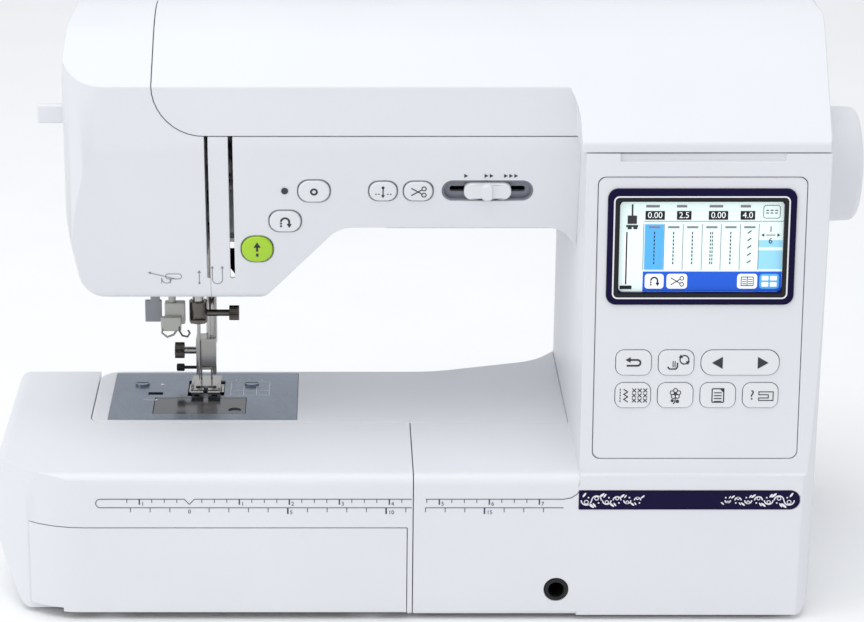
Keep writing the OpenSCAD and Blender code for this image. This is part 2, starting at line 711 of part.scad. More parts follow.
module needle() {
    color("silver") {
        rod_z(clamp_z - 11, clamp_z + 2, needle_x, needle_y, 1);
        rod_z(clamp_z - 31, clamp_z - 11, needle_x, needle_y, 0.5);
        translate([needle_x, needle_y, clamp_z - 34]) cylinder(h = 3, r1 = 0.1, r2 = 0.5);
    }
}
sole_z = bed_top + foot_gap;
pivot_z = sole_z + 9;
module presser_bar() {
    color("silver") difference() {
        union() {
            rod_z(pivot_z + 14, shaft_z + 20, presser_x, presser_y, presser_bar_r);
            // ankle that holds the foot
            box([foot_x - 5.5, presser_y - 6.5, pivot_z + 2], [foot_x + 5.5, presser_y + 3, pivot_z + 18]);
            for (x = [-5.5, 3.5]) box([foot_x + x, presser_y - 6, pivot_z - 3], [foot_x + x + 2,
                presser_y, pivot_z + 3]);
            rod_x(foot_x - 14, foot_x - 5, presser_y - 2, pivot_z + 10, 2);
            rod_x(foot_x - 17, foot_x - 12, presser_y - 2, pivot_z + 10, 4);
            // lifting collar
            rod_z(head_z + 32, head_z + 37, presser_x, presser_y, 5.6);
        }
        rod_x(foot_x - 9, foot_x + 9, presser_y - 3, pivot_z, 1 + run_gap);
    }
}
module presser_foot() {
    color("silver") difference() {
        union() {
            box([foot_x - 8, needle_y - 7, sole_z], [foot_x + 8, needle_y + 18, sole_z + 1.6]);
            rod_x(foot_x - 8, foot_x + 8, needle_y - 6.8, sole_z + 1.2, 1.2);
            for (x = [-3.3, 2.3]) box([foot_x + x, presser_y - 6, sole_z + 1], [foot_x + x + 1,
                presser_y, pivot_z + 1.2]);
            rod_x(foot_x - 5.4, foot_x + 5.4, presser_y - 3, pivot_z, 1);
            for (x = [-8, 6.6]) box([foot_x + x, needle_y - 6, sole_z + 1], [foot_x + x + 1.4,
                needle_y + 8, sole_z + 3.4]);
        }
        box([foot_x - 5.6, needle_y - 1.6, sole_z - 1], [foot_x + 5.4, needle_y + 1.6, sole_z + 5]);
        box([foot_x - 1.2, needle_y - 14, sole_z - 1], [foot_x + 1.2, needle_y, sole_z + 5]);
    }
}
module presser_lever() {
    color("gray") difference() {
        union() {
            rod_y(lever_y - 3, lever_y + 3, lever_x, lever_z, 7);
            front([[lever_x - 3, lever_z, 0], [lever_x + 6, lever_z - 43, 2.5], [lever_x + 17,
                lever_z - 43, 2.5],
                [lever_x + 17, lever_z - 36, 2], [lever_x + 11, lever_z - 34, 3], [lever_x + 6,
                    lever_z, 0]], lever_y - 3, lever_y + 3);
        }
        rod_y(lever_y - 9, lever_y + 9, lever_x, lever_z, 3 + run_gap);
    }
}
module take_up_lever() {
    color("silver") difference() {
        union() {
            side([[take_y + 4, take_z - 3, 0], [take_y + 2, take_z + 5, 0], [take_y - 30, take_z + 27, 1],
                [take_y - 34, take_z + 22, 1]], take_x, take_x + 1.2);
            rod_x(take_x, take_x + 1.2, take_y, take_z, 5);
        }
        rod_x(take_x - 9, take_x + 9, take_y, take_z, 2.5 + run_gap);
        rod_x(take_x - 9, take_x + 9, take_y - 29, take_z + 22.5, 1.2);
    }
}
module feed_bar() {
    color("gray") {
        box([foot_x - 14, needle_y + 4.5, hook_z1 - 8.5], [foot_x + 14, needle_y + 15, hook_z1 - 3.5]);
        for (x = [-14, 10]) box([foot_x + x, needle_y + 8.5, hook_z1 - 4], [foot_x + x + 4,
            needle_y + 15, hook_z1 - 2.4]);
    }
}
module feed_dog() {
    color("silver") {
        box([foot_x - 9.6, needle_y + 4, hook_z1 - 0.8], [foot_x + 9.6, needle_y + 12, hook_z1 + 2]);
        for (x = feed_rows) difference() {
            box([foot_x + x - 0.9, needle_y + 2.9, hook_z1 + 1.4], [foot_x + x + 0.9, needle_y + 15,
                tool_z + 0.6]);
            for (i = [2 : 9]) translate([foot_x + x - 2, needle_y + i * 1.6, tool_z + 0.6])
                rotate([45, 0, 0]) cube([4, 0.7, 0.7]);
        }
    }
}
module threader_lever() {
    color("white") {
        box([head_end - 15, threader_y - 3, threader_z - 6], [head_end + 6, threader_y + 3,
            threader_z + 4]);
        box([head_end + 6, threader_y - 7, threader_z - 8], [head_end + 9, threader_y + 7, threader_z + 6]);
    }
}
module threader_head() {
    color("lightsteelblue") {
        rod_z(bed_top + 52, seam_z - 20, needle_x - 14, needle_y - 2, 2);
        box([needle_x - 18, needle_y - 5, bed_top + 41], [needle_x - 7, needle_y + 1, bed_top + 53]);
        box([needle_x - 20, needle_y - 8, bed_top + 38], [needle_x - 9, needle_y - 5, bed_top + 46]);
    }
}
module buttonhole_lever() {
    color("gray") {
        box([needle_x - 29, needle_y + 2, bed_top + 40], [needle_x - 20, needle_y + 5, bed_top + 52]);
        box([needle_x - 26, needle_y + 2, bed_top + 50], [needle_x - 21, needle_y + 5, head_z + 30]);
    }
}

// ---------- lid, flat bed and handle ----------
module lid_shell() {
    difference() {
        top_block(0);
        top_block(wall);
        open_below();
    }
}
module open_below() {
    translate([0, 0, -wall - 2]) intersection() {
        top_block(wall);
        box([head_end, front_y, seam_z], [wheel_end, rear_y, seam_z + 9]);
    }
}
module top_lid() {
    color("white") difference() {
        union() {
            difference() {
                intersection() {
                    union() {
                        lid_shell();
                        intersection() {
                            top_block(0);
                            difference() {
                                front(lid_face(), front_y, rear_y);
                                front(inset(lid_face(), wall), front_y - 1, rear_y + 1);
                            }
                            box([lid_end - 1, front_y, seam_z], [chan_x, rear_y, top_z]);
                        }
                    }
                    front(lid_face(), front_y, rear_y);
                }
                box([lid_end - 9, lid_hinge_y - 2, seam_z - 9], [wheel_end, rear_y, lid_hinge_z - 14]);
                for (x = hinge_places) box([x - 4, lid_hinge_y - 6, seam_z], [x + 4, rear_y,
                    lid_hinge_z + 6]);
            }
            for (x = hinge_places, s = [-1, 1]) translate([x + s * 6, 0, 0]) {
                rod_x(-1.6, 1.6, lid_hinge_y, lid_hinge_z, 5);
                box([-1.6, lid_hinge_y - 5, lid_hinge_z], [1.6, lid_hinge_y + 4, lid_hinge_z + 3]);
            }
        }
        for (x = hinge_places) rod_x(x - 9.5, x + 9.5, lid_hinge_y, lid_hinge_z, lid_pin_r + run_gap);
        box([lid_end - 9, front_y - 1, seam_z - 9], [wheel_end, rear_y, seam_z]);
    }
}
function flatbed_plan() = [[bed_end, front_y, bed_corner], [split_x - seam, front_y, 0],
    [split_x - seam, free_front - seam, 0], [free_end - seam, free_front - seam, 8],
    [free_end - seam, free_rear, 0], [bed_end, free_rear, 9]];
function flatbed_face() = [[bed_end + 18, base_z, 5], [split_x, base_z, 0], [split_x, bed_top, 0],
    [bed_end + 6, bed_top, 6], [bed_end - bed_swell, base_z + 46, 60]];
module flatbed_block(t) {
    intersection() {
        plan(inset(flatbed_plan(), t), base_z - 1, bed_top + 1);
        front(inset(flatbed_face(), t), front_y - 9, rear_y);
        side(inset(bed_side(), t), bed_end - 9, split_x + 9);
    }
}
module door_zone(g) {
    box([bed_end - 9, front_y - 9, base_z - 1], [door_x1 + g, door_y + g, door_z + g]);
}
module flatbed_attachment() {
    color("white") difference() {
        union() {
            difference() {
                flatbed_block(0);
                flatbed_block(wall);
                door_zone(seam);
            }
            // hinge blocks of the accessory door, round where the door turns about them
            for (x = door_hinges) {
                rod_x(x, x + 8, door_pin_y, door_pin_z, 3.2);
                box([x, door_pin_y, door_pin_z], [x + 8, door_y + 2, door_pin_z + 3.2]);
                box([x, door_y + 1, base_z], [x + 8, free_front - seam - 1, door_pin_z + 3.2]);
            }
        }
        for (x = door_hinges) rod_x(x - 9, x + 17, door_pin_y, door_pin_z, door_pin_r + run_gap);
    }
}
module accessory_door() {
    color("white") {
        difference() {
            intersection() {
                difference() {
                    flatbed_block(0);
                    flatbed_block(wall);
                }
                door_zone(0);
            }
            for (x = door_hinges) box([x - 0.6, front_y + wall, 0], [x + 8.6, door_y + 9, door_pin_z + 6]);
            box([bed_end, front_y + 1.5, 0], [split_x, door_y + 9, base_z + wall + 1]);
            // room under the lower edge, which dips while the door opens
            box([bed_end - 9, front_y - 9, 0], [split_x, door_y + 9, base_z + 1.5]);
        }
        for (x = door_hinges) {
            rod_x(x - 3, x + 11, door_pin_y, door_pin_z, door_pin_r);
            for (s = [-3, 9]) box([x + s, front_y + wall - 0.1, door_pin_z - 1.6], [x + s + 2,
                door_pin_y + 1.6, door_pin_z + 1.6]);
        }
    }
}
module carry_handle() {
    color("white") difference() {
        union() {
            for (i = [0, 1]) box([handle_ends[i] + (i == 0 ? -11 : 5.5), handle_y - 6,
                handle_z - handle_len],
                [handle_ends[i] + (i == 0 ? -5.5 : 11), handle_y + 6, handle_z]);
            for (i = [0, 1]) rod_x(handle_ends[i] + (i == 0 ? -11 : 5.5),
                handle_ends[i] + (i == 0 ? -5.5 : 11),
                handle_y, handle_z, 6.9);
            box([handle_ends[0] - 11, handle_y - 6, handle_z - handle_len - 12],
                [handle_ends[1] + 11, handle_y + 6, handle_z - handle_len]);
        }
        for (x = handle_ends) rod_x(x - 20, x + 20, handle_y, handle_z, handle_pin_r + run_gap);
    }
}

// ---------- panel and controls ----------
module pill_hole(w, h, r, depth) {
    translate([0, 0, -depth]) linear_extrude(depth + 9) polygon(path(rect(w, h, r)));
}
module slab(w, h, r, z0, z1) { translate([0, 0, z0]) linear_extrude(z1 - z0) polygon(path(rect(w, h, r))); }
key_xs = [for (i = [0 : 3]) (i - 1.5) * key_pitch];
pages_w = key_pitch + key_w;
pages_x = (key_xs[2] + key_xs[3]) / 2;
module control_panel() {
    color("white") tilt_on_panel(0, 0, 0) difference() {
        union() {
            slab(panel_w - 2 * seam, panel_h - 2 * seam, 4, -wall - flange_t, -0.5);
            slab(panel_w + 4, panel_h + 4, 2, -wall - flange_t, -wall - eps);
        }
        translate([0, bezel_cy, 0]) slab(bezel_w, bezel_h, 5, -9, 9);
        for (x = key_xs) translate([x, row_2, 0]) slab(key_w + 2 * key_gap, key_h + 2 * key_gap, 4.4,
            -9, 9);
        for (i = [0, 1]) translate([key_xs[i], row_1, 0]) slab(key_w + 2 * key_gap,
            key_h + 2 * key_gap, 4.4, -9, 9);
        translate([pages_x, row_1, 0]) slab(pages_w + 2 * key_gap, key_h + 2 * key_gap, 6, -9, 9);
    }
}
module lcd_bezel() {
    color("midnightblue") tilt_on_panel(0, bezel_cy, 0) difference() {
        slab(bezel_w, bezel_h, 5, -2.4, 0.5);
        slab(screen_w, screen_h, 2.5, -9, 9);
    }
}
module lcd_screen() {
    color("honeydew") tilt_on_panel(0, bezel_cy, 0) slab(bezel_w, bezel_h, 5, -4.6, -2.4);
}
module key(x, y, w) {
    color("white") tilt_on_panel(x, y, 0) {
        slab(w, key_h, w > 25 ? 5.8 : 4, -5.2, key_up - 0.5);
        slab(w + 2.4, key_h + 2.4, 2, -6.4, -5);
    }
}
module key_back() { key(key_xs[0], row_1, key_w); }
module key_exchange() { key(key_xs[1], row_1, key_w); }
module key_pages() { key(pages_x, row_1, pages_w); }
module key_stitches() { key(key_xs[0], row_2, key_w); }
module key_embroidery() { key(key_xs[1], row_2, key_w); }
module key_settings() { key(key_xs[2], row_2, key_w); }
module key_help() { key(key_xs[3], row_2, key_w); }

// Arm buttons: [x, z, width, height, corner radius]
start_at = [needle_x + 34, shaft_z - 28, 16, 14.6, 7];
reverse_at = [needle_x + 48.5, shaft_z - 12, 16, 11.8, 5.6];
reinforce_at = [needle_x + 63.3, row_z, 16, 12, 5.8];
needle_at = [needle_x + 98.4, row_z, 14, 10.6, 5];
cutter_at = [needle_x + 116.3, row_z, 14.6, 10.6, 5];
slot_at = [needle_x + 151.5, row_z, 46.4, 11.6, 5.6];
button_places = [start_at, reverse_at, reinforce_at, needle_at, cutter_at];
knob_w = 24;
module arm_holes() {
    for (b = button_places) tilt_on_arm(b[0], b[1], 0) pill_hole(b[2] + 2 * key_gap,
        b[3] + 2 * key_gap, b[4], wall + 5);
    tilt_on_arm(slot_at[0], slot_at[1], 0) pill_hole(slot_at[2], slot_at[3], slot_at[4], wall + 5);
}
module arm_button(b) {
    tilt_on_arm(b[0], b[1], 0) {
        slab(b[2], b[3], b[4], -wall - 1.4, btn_up);
        slab(b[2] + 2.4, b[3] + 2.4, b[4], -wall - 2.6, -wall - 1.3);
    }
}
module start_button() { color("yellowgreen") arm_button(start_at); }
module reverse_button() { color("white") arm_button(reverse_at); }
module reinforce_button() { color("white") arm_button(reinforce_at); }
module needle_button() { color("white") arm_button(needle_at); }
module cutter_button() { color("white") arm_button(cutter_at); }
module speed_slot() {
    color("gray") tilt_on_arm(slot_at[0], slot_at[1], 0) difference() {
        union() {
            slab(slot_at[2], slot_at[3], slot_at[4], -wall - 2, -0.6);
            slab(slot_at[2] + 4, slot_at[3] + 4, 4, -wall - 2, -wall);
        }
        slab(slot_at[2] - 2, slot_at[3] - 2, slot_at[4] - 1, -wall, 3);
        slab(slot_at[2] - 8, 3, 1.4, -9, 3);
    }
}
module speed_slider() {
    color("white") tilt_on_arm(slot_at[0], slot_at[1], 0) {
        slab(knob_w, slot_at[3] - 2.6, 4, -wall + 0.2, 1.4);
        slab(5, slot_at[3] - 3, 2, 1.2, 3.2);
        slab(8, 2.6, 1, -wall - 3, -wall + 1);
    }
}
module knee_socket() {
    color("black") difference() {
        rod_y(front_y - 0.3, front_y + 30, knee_x, knee_z, knee_r);
        rod_y(front_y - 9, front_y + 20, knee_x, knee_z, knee_bore_r);
    }
}
module side_sockets() {
    color("gray") difference() {
        box([socket_x - 5, socket_y, socket_z], [socket_x, socket_y + socket_w, socket_z + socket_h]);
        box([socket_x - 4, socket_y + 5, socket_z + 5], [socket_x + 9, socket_y + 27, socket_z + 19]);
        box([socket_x - 9, socket_y + 6, socket_z + 26], [socket_x + 9, socket_y + 26, socket_z + 38]);
        rod_x(socket_x - 4, socket_x + 9, socket_y + 10, socket_z + 46, 3);
    }
    color("silver") for (y = [12, 20]) box([socket_x - 4.1, socket_y + y - 1, socket_z + 10],
        [socket_x - 0.5, socket_y + y + 1, socket_z + 14]);
}
module power_switch() {
    color("black") intersection() {
        box([socket_x - 7, socket_y + 8, socket_z + 26.4], [socket_x + 2.4, socket_y + 24,
            socket_z + 37.6]);
        rod_z(socket_z, socket_z + 50, socket_x - 7.5, socket_y + 16, 12);
    }
}

module placed() { translate([-centre_x, 0, 0]) children(); }
placed() base_pan();
placed() rubber_feet();
placed() front_cover();
placed() rear_cover();
placed() face_cover();
placed() free_arm_cover();
placed() inner_deck();
placed() machine_frame();
placed() control_panel();
placed() lcd_bezel();
placed() lcd_screen();
placed() main_board();
placed() needle_plate();
placed() bobbin_case();
placed() main_motor();
placed() belts();
placed() side_sockets();
placed() trim_strip();
placed() speed_slot();
placed() top_lid();
placed() flatbed_attachment();
placed() accessory_door();
placed() handwheel();
placed() main_shaft();
placed() lower_shaft();
placed() rotary_hook();
placed() motor_pulley();
placed() needle_bar_frame();
placed() needle_bar();
placed() needle_clamp();
placed() needle();
placed() presser_bar();
placed() presser_foot();
placed() presser_lever();
placed() take_up_lever();
placed() feed_bar();
placed() feed_dog();
placed() bobbin_cover();
placed() bobbin();
placed() threader_lever();
placed() threader_head();
placed() buttonhole_lever();
placed() carry_handle();
placed() spool_cap();
placed() winder();
placed() power_switch();
placed() knee_socket();
placed() start_button();
placed() reverse_button();
placed() reinforce_button();
placed() needle_button();
placed() cutter_button();
placed() speed_slider();
placed() key_back();
placed() key_exchange();
placed() key_pages();
placed() key_stitches();
placed() key_embroidery();
placed() key_settings();
placed() key_help();
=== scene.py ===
# %% [markdown]
# # A computerised sewing machine
#
# The hard parts of this machine come ready from its CAD model: covers, shafts, needle,
# keys and hinges, each in its true place. This lesson gives them their looks. It rounds
# the moulded edges, prints the symbols and the ruler, draws the display, knurls the
# screws and builds a finish for each kind of surface.
#
# The frame comes first, because every place below is read from it.

# %% load the frame
import json
import math

import bpy
from mathutils import Matrix, Vector


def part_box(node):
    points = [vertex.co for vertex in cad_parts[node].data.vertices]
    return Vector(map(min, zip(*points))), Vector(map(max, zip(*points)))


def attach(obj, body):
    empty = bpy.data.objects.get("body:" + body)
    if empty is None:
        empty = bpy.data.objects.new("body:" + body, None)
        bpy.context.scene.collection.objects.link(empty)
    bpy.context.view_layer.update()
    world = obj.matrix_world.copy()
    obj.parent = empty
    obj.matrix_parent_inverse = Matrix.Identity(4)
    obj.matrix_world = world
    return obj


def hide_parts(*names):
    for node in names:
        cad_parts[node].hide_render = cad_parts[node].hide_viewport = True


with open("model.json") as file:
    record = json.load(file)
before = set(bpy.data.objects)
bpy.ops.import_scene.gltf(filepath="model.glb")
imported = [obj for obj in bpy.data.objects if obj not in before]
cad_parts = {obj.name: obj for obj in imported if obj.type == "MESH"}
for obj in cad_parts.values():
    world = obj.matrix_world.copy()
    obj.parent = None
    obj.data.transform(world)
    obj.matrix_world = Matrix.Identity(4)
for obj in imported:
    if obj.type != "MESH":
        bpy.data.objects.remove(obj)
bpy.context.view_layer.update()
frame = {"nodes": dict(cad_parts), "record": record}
nodes = frame["nodes"]
bodies = frame["record"]["behaviour"]["bodies"]
body_of = {node: body for body, members in bodies.items() for node in members}
MM = 0.001

# %% [markdown]
# ## Places
#
# A few named places are enough for the rest: the front face of the bed, the plane of the
# leaning panel and the plane of the leaning arm front. Each is a point and two directions,
# so that a symbol can be drawn flat in millimetres and then laid on its surface.

# %% named places
PANEL_LEAN = math.radians(5)
ACROSS = Vector((1, 0, 0))
UPRIGHT = Vector((0, 0, 1))
TO_FRONT = Vector((0, -1, 0))


def low(node):
    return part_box(node)[0]


def high(node):
    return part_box(node)[1]


def middle(node):
    return (low(node) + high(node)) / 2


def face_point(node, up, out):
    """The middle of the node's face that looks along out."""
    spots = [vertex.co for vertex in nodes[node].data.vertices]
    heights = [spot.dot(up) for spot in spots]
    widths = [spot.x for spot in spots]
    depth = max(spot.dot(out) for spot in spots)
    return ACROSS * (max(widths) + min(widths)) / 2 + up * (max(heights) + min(heights)) / 2 + out * depth


front_y = low("front_cover").y
bed_top = high("free_arm_cover").z
seam_z = low("top_lid").z
needle = middle("needle")
head_low_z = low("face_cover").z
ARM_LEAN_DEPTH = 17 * MM
ARM_LEAN_TOP = 6 * MM
arm_lean = math.atan(ARM_LEAN_DEPTH / (seam_z - ARM_LEAN_TOP - head_low_z))

panel_up = Vector((0, math.sin(PANEL_LEAN), math.cos(PANEL_LEAN)))
panel_out = ACROSS.cross(panel_up)
arm_up = Vector((0, -math.sin(arm_lean), math.cos(arm_lean)))
arm_out = ACROSS.cross(arm_up)
print("bed top", round(bed_top, 4), "seam", round(seam_z, 4), "arm lean", round(math.degrees(arm_lean), 2))

# %% [markdown]
# ## The camera and the light
#
# A machine like this is shown from a little above, with a long lens, so that its upright
# edges stay upright. The light is a bright, even studio: a pale sky, one large soft lamp
# above and a smaller one from the left, which gives the rounded edges their gradient.

# %% camera
VIEW_DOWN = math.radians(19)
camera_data = bpy.data.cameras.new("camera")
camera_data.lens = 116.3
camera_data.sensor_width = 36
camera_data.shift_x = 0.11
camera = bpy.data.objects.new("camera", camera_data)
camera.location = (-0.047, -1.416, 0.619)
camera.rotation_euler = (math.pi / 2 - VIEW_DOWN, 0, 0)
bpy.context.collection.objects.link(camera)
bpy.context.scene.camera = camera

# %% light and floor
bpy.context.scene.view_settings.view_transform = "Standard"
world = bpy.data.worlds.new("studio")
world.use_nodes = True
world.node_tree.nodes["Background"].inputs["Color"].default_value = (0.94, 0.965, 1.0, 1)
world.node_tree.nodes["Background"].inputs["Strength"].default_value = 0.76
bpy.context.scene.world = world


def soft_lamp(name, place, aim, size, power):
    lamp_data = bpy.data.lights.new(name, "AREA")
    lamp_data.shape = "SQUARE"
    lamp_data.size = size
    lamp_data.energy = power
    lamp = bpy.data.objects.new(name, lamp_data)
    lamp.location = place
    lamp.rotation_euler = (Vector(aim) - Vector(place)).to_track_quat("-Z", "Y").to_euler()
    bpy.context.collection.objects.link(lamp)


soft_lamp("top_lamp", (-0.3, -0.4, 2.2), (0, 0, 0.1), 1.6, 19)
soft_lamp("left_lamp", (-2.0, -1.2, 1.0), (0, 0, 0.15), 1.2, 7)


def deselect():
    bpy.ops.object.select_all(action="DESELECT")


deselect()
bpy.ops.mesh.primitive_plane_add(size=14, location=(0, 0, 0))
floor = bpy.context.object
floor.name = "floor"
print("camera and", len(bpy.data.lights), "lamps")

# %% [markdown]
# ## Finishes
#
# Moulded plastic is never one flat colour: its skin has a fine grain that breaks up the
# highlight, and the colour drifts very slightly over a large cover. Both come from noise
# in Object coordinates, so the pattern keeps its real size on every piece. One function
# makes all moulded plastics, another the metals.

# %% the plastic finish
def new_finish(name):
    material = bpy.data.materials.new(name)
    material.use_nodes = True
    tree = material.node_tree
    shader = tree.nodes["Principled BSDF"]
    return material, tree, shader


def noise(tree, scale, detail=2.0, stretch=(1, 1, 1)):
    """Noise in the object's own metres; scale is grains per metre."""
    place = tree.nodes.new("ShaderNodeTexCoord")
    spread = tree.nodes.new("ShaderNodeMapping")
    spread.inputs["Scale"].default_value = stretch
    texture = tree.nodes.new("ShaderNodeTexNoise")
    texture.inputs["Scale"].default_value = scale
    texture.inputs["Detail"].default_value = detail
    tree.links.new(place.outputs["Object"], spread.inputs["Vector"])
    tree.links.new(spread.outputs["Vector"], texture.inputs["Vector"])
    return texture


def spread_between(tree, texture, lowest, highest, socket):
    """The noise, turned into numbers from lowest to highest."""
    ramp = tree.nodes.new("ShaderNodeMapRange")
    ramp.inputs["From Min"].default_value = 0.3
    ramp.inputs["From Max"].default_value = 0.7
    ramp.inputs["To Min"].default_value = lowest
    ramp.inputs["To Max"].default_value = highest
    tree.links.new(texture.outputs["Fac"], ramp.inputs["Value"])
    tree.links.new(ramp.outputs["Result"], socket)


def tint_between(tree, texture, colour, drift, socket):
    """A colour that drifts a little darker where the noise is low."""
    ramp = tree.nodes.new("ShaderNodeValToRGB")
    ramp.color_ramp.elements[0].position = 0.3
    ramp.color_ramp.elements[1].position = 0.7
    ramp.color_ramp.elements[0].color = tuple(c * (1 - drift) for c in colour) + (1,)
    ramp.color_ramp.elements[1].color = tuple(colour) + (1,)
    tree.links.new(texture.outputs["Fac"], ramp.inputs["Fac"])
    tree.links.new(ramp.outputs["Color"], socket)


def grain_bump(tree, shader, texture, height, strength):
    bump = tree.nodes.new("ShaderNodeBump")
    bump.inputs["Strength"].default_value = strength
    bump.inputs["Distance"].default_value = height
    tree.links.new(texture.outputs["Fac"], bump.inputs["Height"])
    tree.links.new(bump.outputs["Normal"], shader.inputs["Normal"])


def moulded(name, colour, rough, grain=900, height=0.02 * MM, coat=0.0, gloss=0.5, drift=0.025):
    """Moulded plastic: fine grain in the skin, a slow drift of colour and gloss."""
    material, tree, shader = new_finish(name)
    slow = noise(tree, 14)
    fine = noise(tree, grain, detail=3)
    tint_between(tree, slow, colour, drift, shader.inputs["Base Color"])
    spread_between(tree, slow, rough - 0.04, rough + 0.04, shader.inputs["Roughness"])
    grain_bump(tree, shader, fine, height, 0.35)
    shader.inputs["Coat Weight"].default_value = coat
    shader.inputs["Specular IOR Level"].default_value = gloss
    shader.inputs["Coat Roughness"].default_value = 0.12
    shader.inputs["IOR"].default_value = 1.49
    return material


# %% the metal finish
def metal(name, colour, rough, stretch, scratch=0.015 * MM, drift=0.12):
    """Metal brushed along one axis: the noise is squeezed across it."""
    material, tree, shader = new_finish(name)
    brushed = noise(tree, 260, detail=4, stretch=stretch)
    slow = noise(tree, 40)
    tint_between(tree, slow, colour, drift, shader.inputs["Base Color"])
    spread_between(tree, brushed, rough * 0.7, rough * 1.35, shader.inputs["Roughness"])
    grain_bump(tree, shader, brushed, scratch, 0.5)
    shader.inputs["Metallic"].default_value = 1.0
    return material


# %% the clear and lit finishes
def clear(name, colour, rough, through):
    """Clear or smoked plastic, with the faint streaks of moulding."""
    material, tree, shader = new_finish(name)
    streaks = noise(tree, 120, detail=1, stretch=(1, 1, 0.2))
    tint_between(tree, streaks, colour, 0.06, shader.inputs["Base Color"])
    spread_between(tree, streaks, rough, rough + 0.06, shader.inputs["Roughness"])
    shader.inputs["Transmission Weight"].default_value = through
    shader.inputs["IOR"].default_value = 1.49
    return material


def lit(name, colour, glow):
    """A patch of the display: a flat coloured light under a smooth film."""
    material, tree, shader = new_finish(name)
    cells = noise(tree, 3500, detail=0)
    tint_between(tree, cells, colour, 0.05, shader.inputs["Base Color"])
    shader.inputs["Emission Color"].default_value = tuple(colour) + (1,)
    shader.inputs["Emission Strength"].default_value = glow
    shader.inputs["Roughness"].default_value = 0.25
    return material


finish = {
    "shell": moulded("shell_white", (0.79, 0.80, 0.825), 0.42),
    "gloss": moulded("gloss_white", (0.80, 0.81, 0.83), 0.22, grain=500, coat=0.25, drift=0.02),
    "grey": moulded("mould_grey", (0.36, 0.37, 0.40), 0.45, drift=0.08),
    "slot_grey": moulded("slot_grey", (0.20, 0.21, 0.25), 0.4, drift=0.08),
    "black": moulded("mould_black", (0.012, 0.012, 0.013), 0.42, gloss=0.3, drift=0.2),
    "navy": moulded("navy_print", (0.006, 0.003, 0.040), 0.3, grain=300, gloss=0.12, drift=0.15),
    "lime": moulded("lime_lens", (0.43, 0.72, 0.012), 0.2, grain=300, coat=0.4, drift=0.18),
    "board": moulded("circuit_green", (0.01, 0.14, 0.05), 0.3, grain=220, drift=0.35),
    "rubber": moulded("foot_rubber", (0.035, 0.035, 0.037), 0.8, grain=1500, height=0.05 * MM, drift=0.3),
    "belt": moulded("belt_rubber", (0.02, 0.02, 0.02), 0.7, grain=1100, height=0.08 * MM, drift=0.3),
    "ink": moulded("symbol_ink", (0.035, 0.036, 0.045), 0.5, grain=1500, drift=0.3),
    "pale_ink": moulded("outline_ink", (0.27, 0.28, 0.32), 0.5, grain=1500, drift=0.15),
    "navy_ink": moulded("ruler_ink", (0.06, 0.06, 0.12), 0.5, grain=1500, drift=0.3),
    "white_ink": moulded("white_ink", (0.86, 0.86, 0.90), 0.45, grain=1500, drift=0.03),
    "plate": metal("plate_steel", (0.30, 0.34, 0.40), 0.34, (1, 14, 1), drift=0.1),
    "chrome": metal("bright_chrome", (0.50, 0.48, 0.46), 0.14, (1, 1, 8), drift=0.15),
    "dark_chrome": metal("smoked_chrome", (0.16, 0.145, 0.13), 0.2, (1, 1, 6), drift=0.3),
    "ground": metal("ground_steel", (0.42, 0.42, 0.42), 0.24, (6, 1, 1)),
    "cast": metal("cast_alloy", (0.40, 0.41, 0.42), 0.45, (1, 1, 1), scratch=0.12 * MM, drift=0.2),
    "smoked": moulded("smoked_cover", (0.035, 0.035, 0.04), 0.14, grain=200, coat=0.6, drift=0.2),
    "clear": clear("clear_plastic", (0.80, 0.86, 0.88), 0.08, 0.75),
    "display": lit("display_mint", (0.80, 0.95, 0.92), 0.30),
    "display_white": lit("display_white", (0.90, 0.93, 0.95), 0.35),
    "display_blue": lit("display_blue", (0.0, 0.085, 0.60), 0.35),
    "display_sky": lit("display_sky", (0.08, 0.40, 0.82), 0.35),
    "display_aqua": lit("display_aqua", (0.30, 0.66, 0.86), 0.30),
    "ivory": moulded("ivory_nylon", (0.55, 0.55, 0.50), 0.35, grain=500, drift=0.08),
    "floor": moulded("studio_floor", (0.97, 0.97, 0.97), 0.6, grain=200, drift=0.01),
}
print(len(finish), "finishes")

# %% [markdown]
# ## Rounding the moulded pieces
#
# Every real moulding has a small radius on its edges, because a sharp one would crack and
# would not leave the mould. The CAD mesh has sharp edges and loose triangles. So a copy is
# made, its doubles are merged and flat regions joined, and a bevel takes the edges off.
# The copy then stands for the CAD node, which stays in the model for its collision.

# %% small helpers for pieces
def only(piece):
    """Selects this piece alone and makes it the active one."""
    deselect()
    piece.select_set(True)
    bpy.context.view_layer.objects.active = piece


def settle(piece):
    """Puts the piece's place, turn and size into its mesh."""
    only(piece)
    bpy.ops.object.transform_apply(location=True, rotation=True, scale=True)
    return piece


def modify(piece, kind, **settings):
    only(piece)
    bpy.ops.object.modifier_add(type=kind)
    modifier = piece.modifiers[-1]
    for key, value in settings.items():
        setattr(modifier, key, value)
    bpy.ops.object.modifier_apply(modifier=modifier.name)


def in_edit(piece, *steps):
    """Runs edit-mode steps on all of the piece."""
    only(piece)
    bpy.ops.object.mode_set(mode="EDIT")
    bpy.ops.mesh.select_all(action="SELECT")
    for step in steps:
        step()
    bpy.ops.object.mode_set(mode="OBJECT")


def smooth(piece, degrees=35):
    only(piece)
    bpy.ops.object.shade_smooth_by_angle(angle=math.radians(degrees))


def wear(piece, name):
    """Gives the piece one finish, by name."""
    piece.data.materials.clear()
    piece.data.materials.append(finish[name])


def hand_over(piece, name, node, look, takes_over=()):
    """Names the piece, gives it its finish and lets it move with the body of a CAD node."""
    piece.name = name
    wear(piece, look)
    if takes_over:
        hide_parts(*takes_over)
    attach(piece, body_of[node])
    return piece


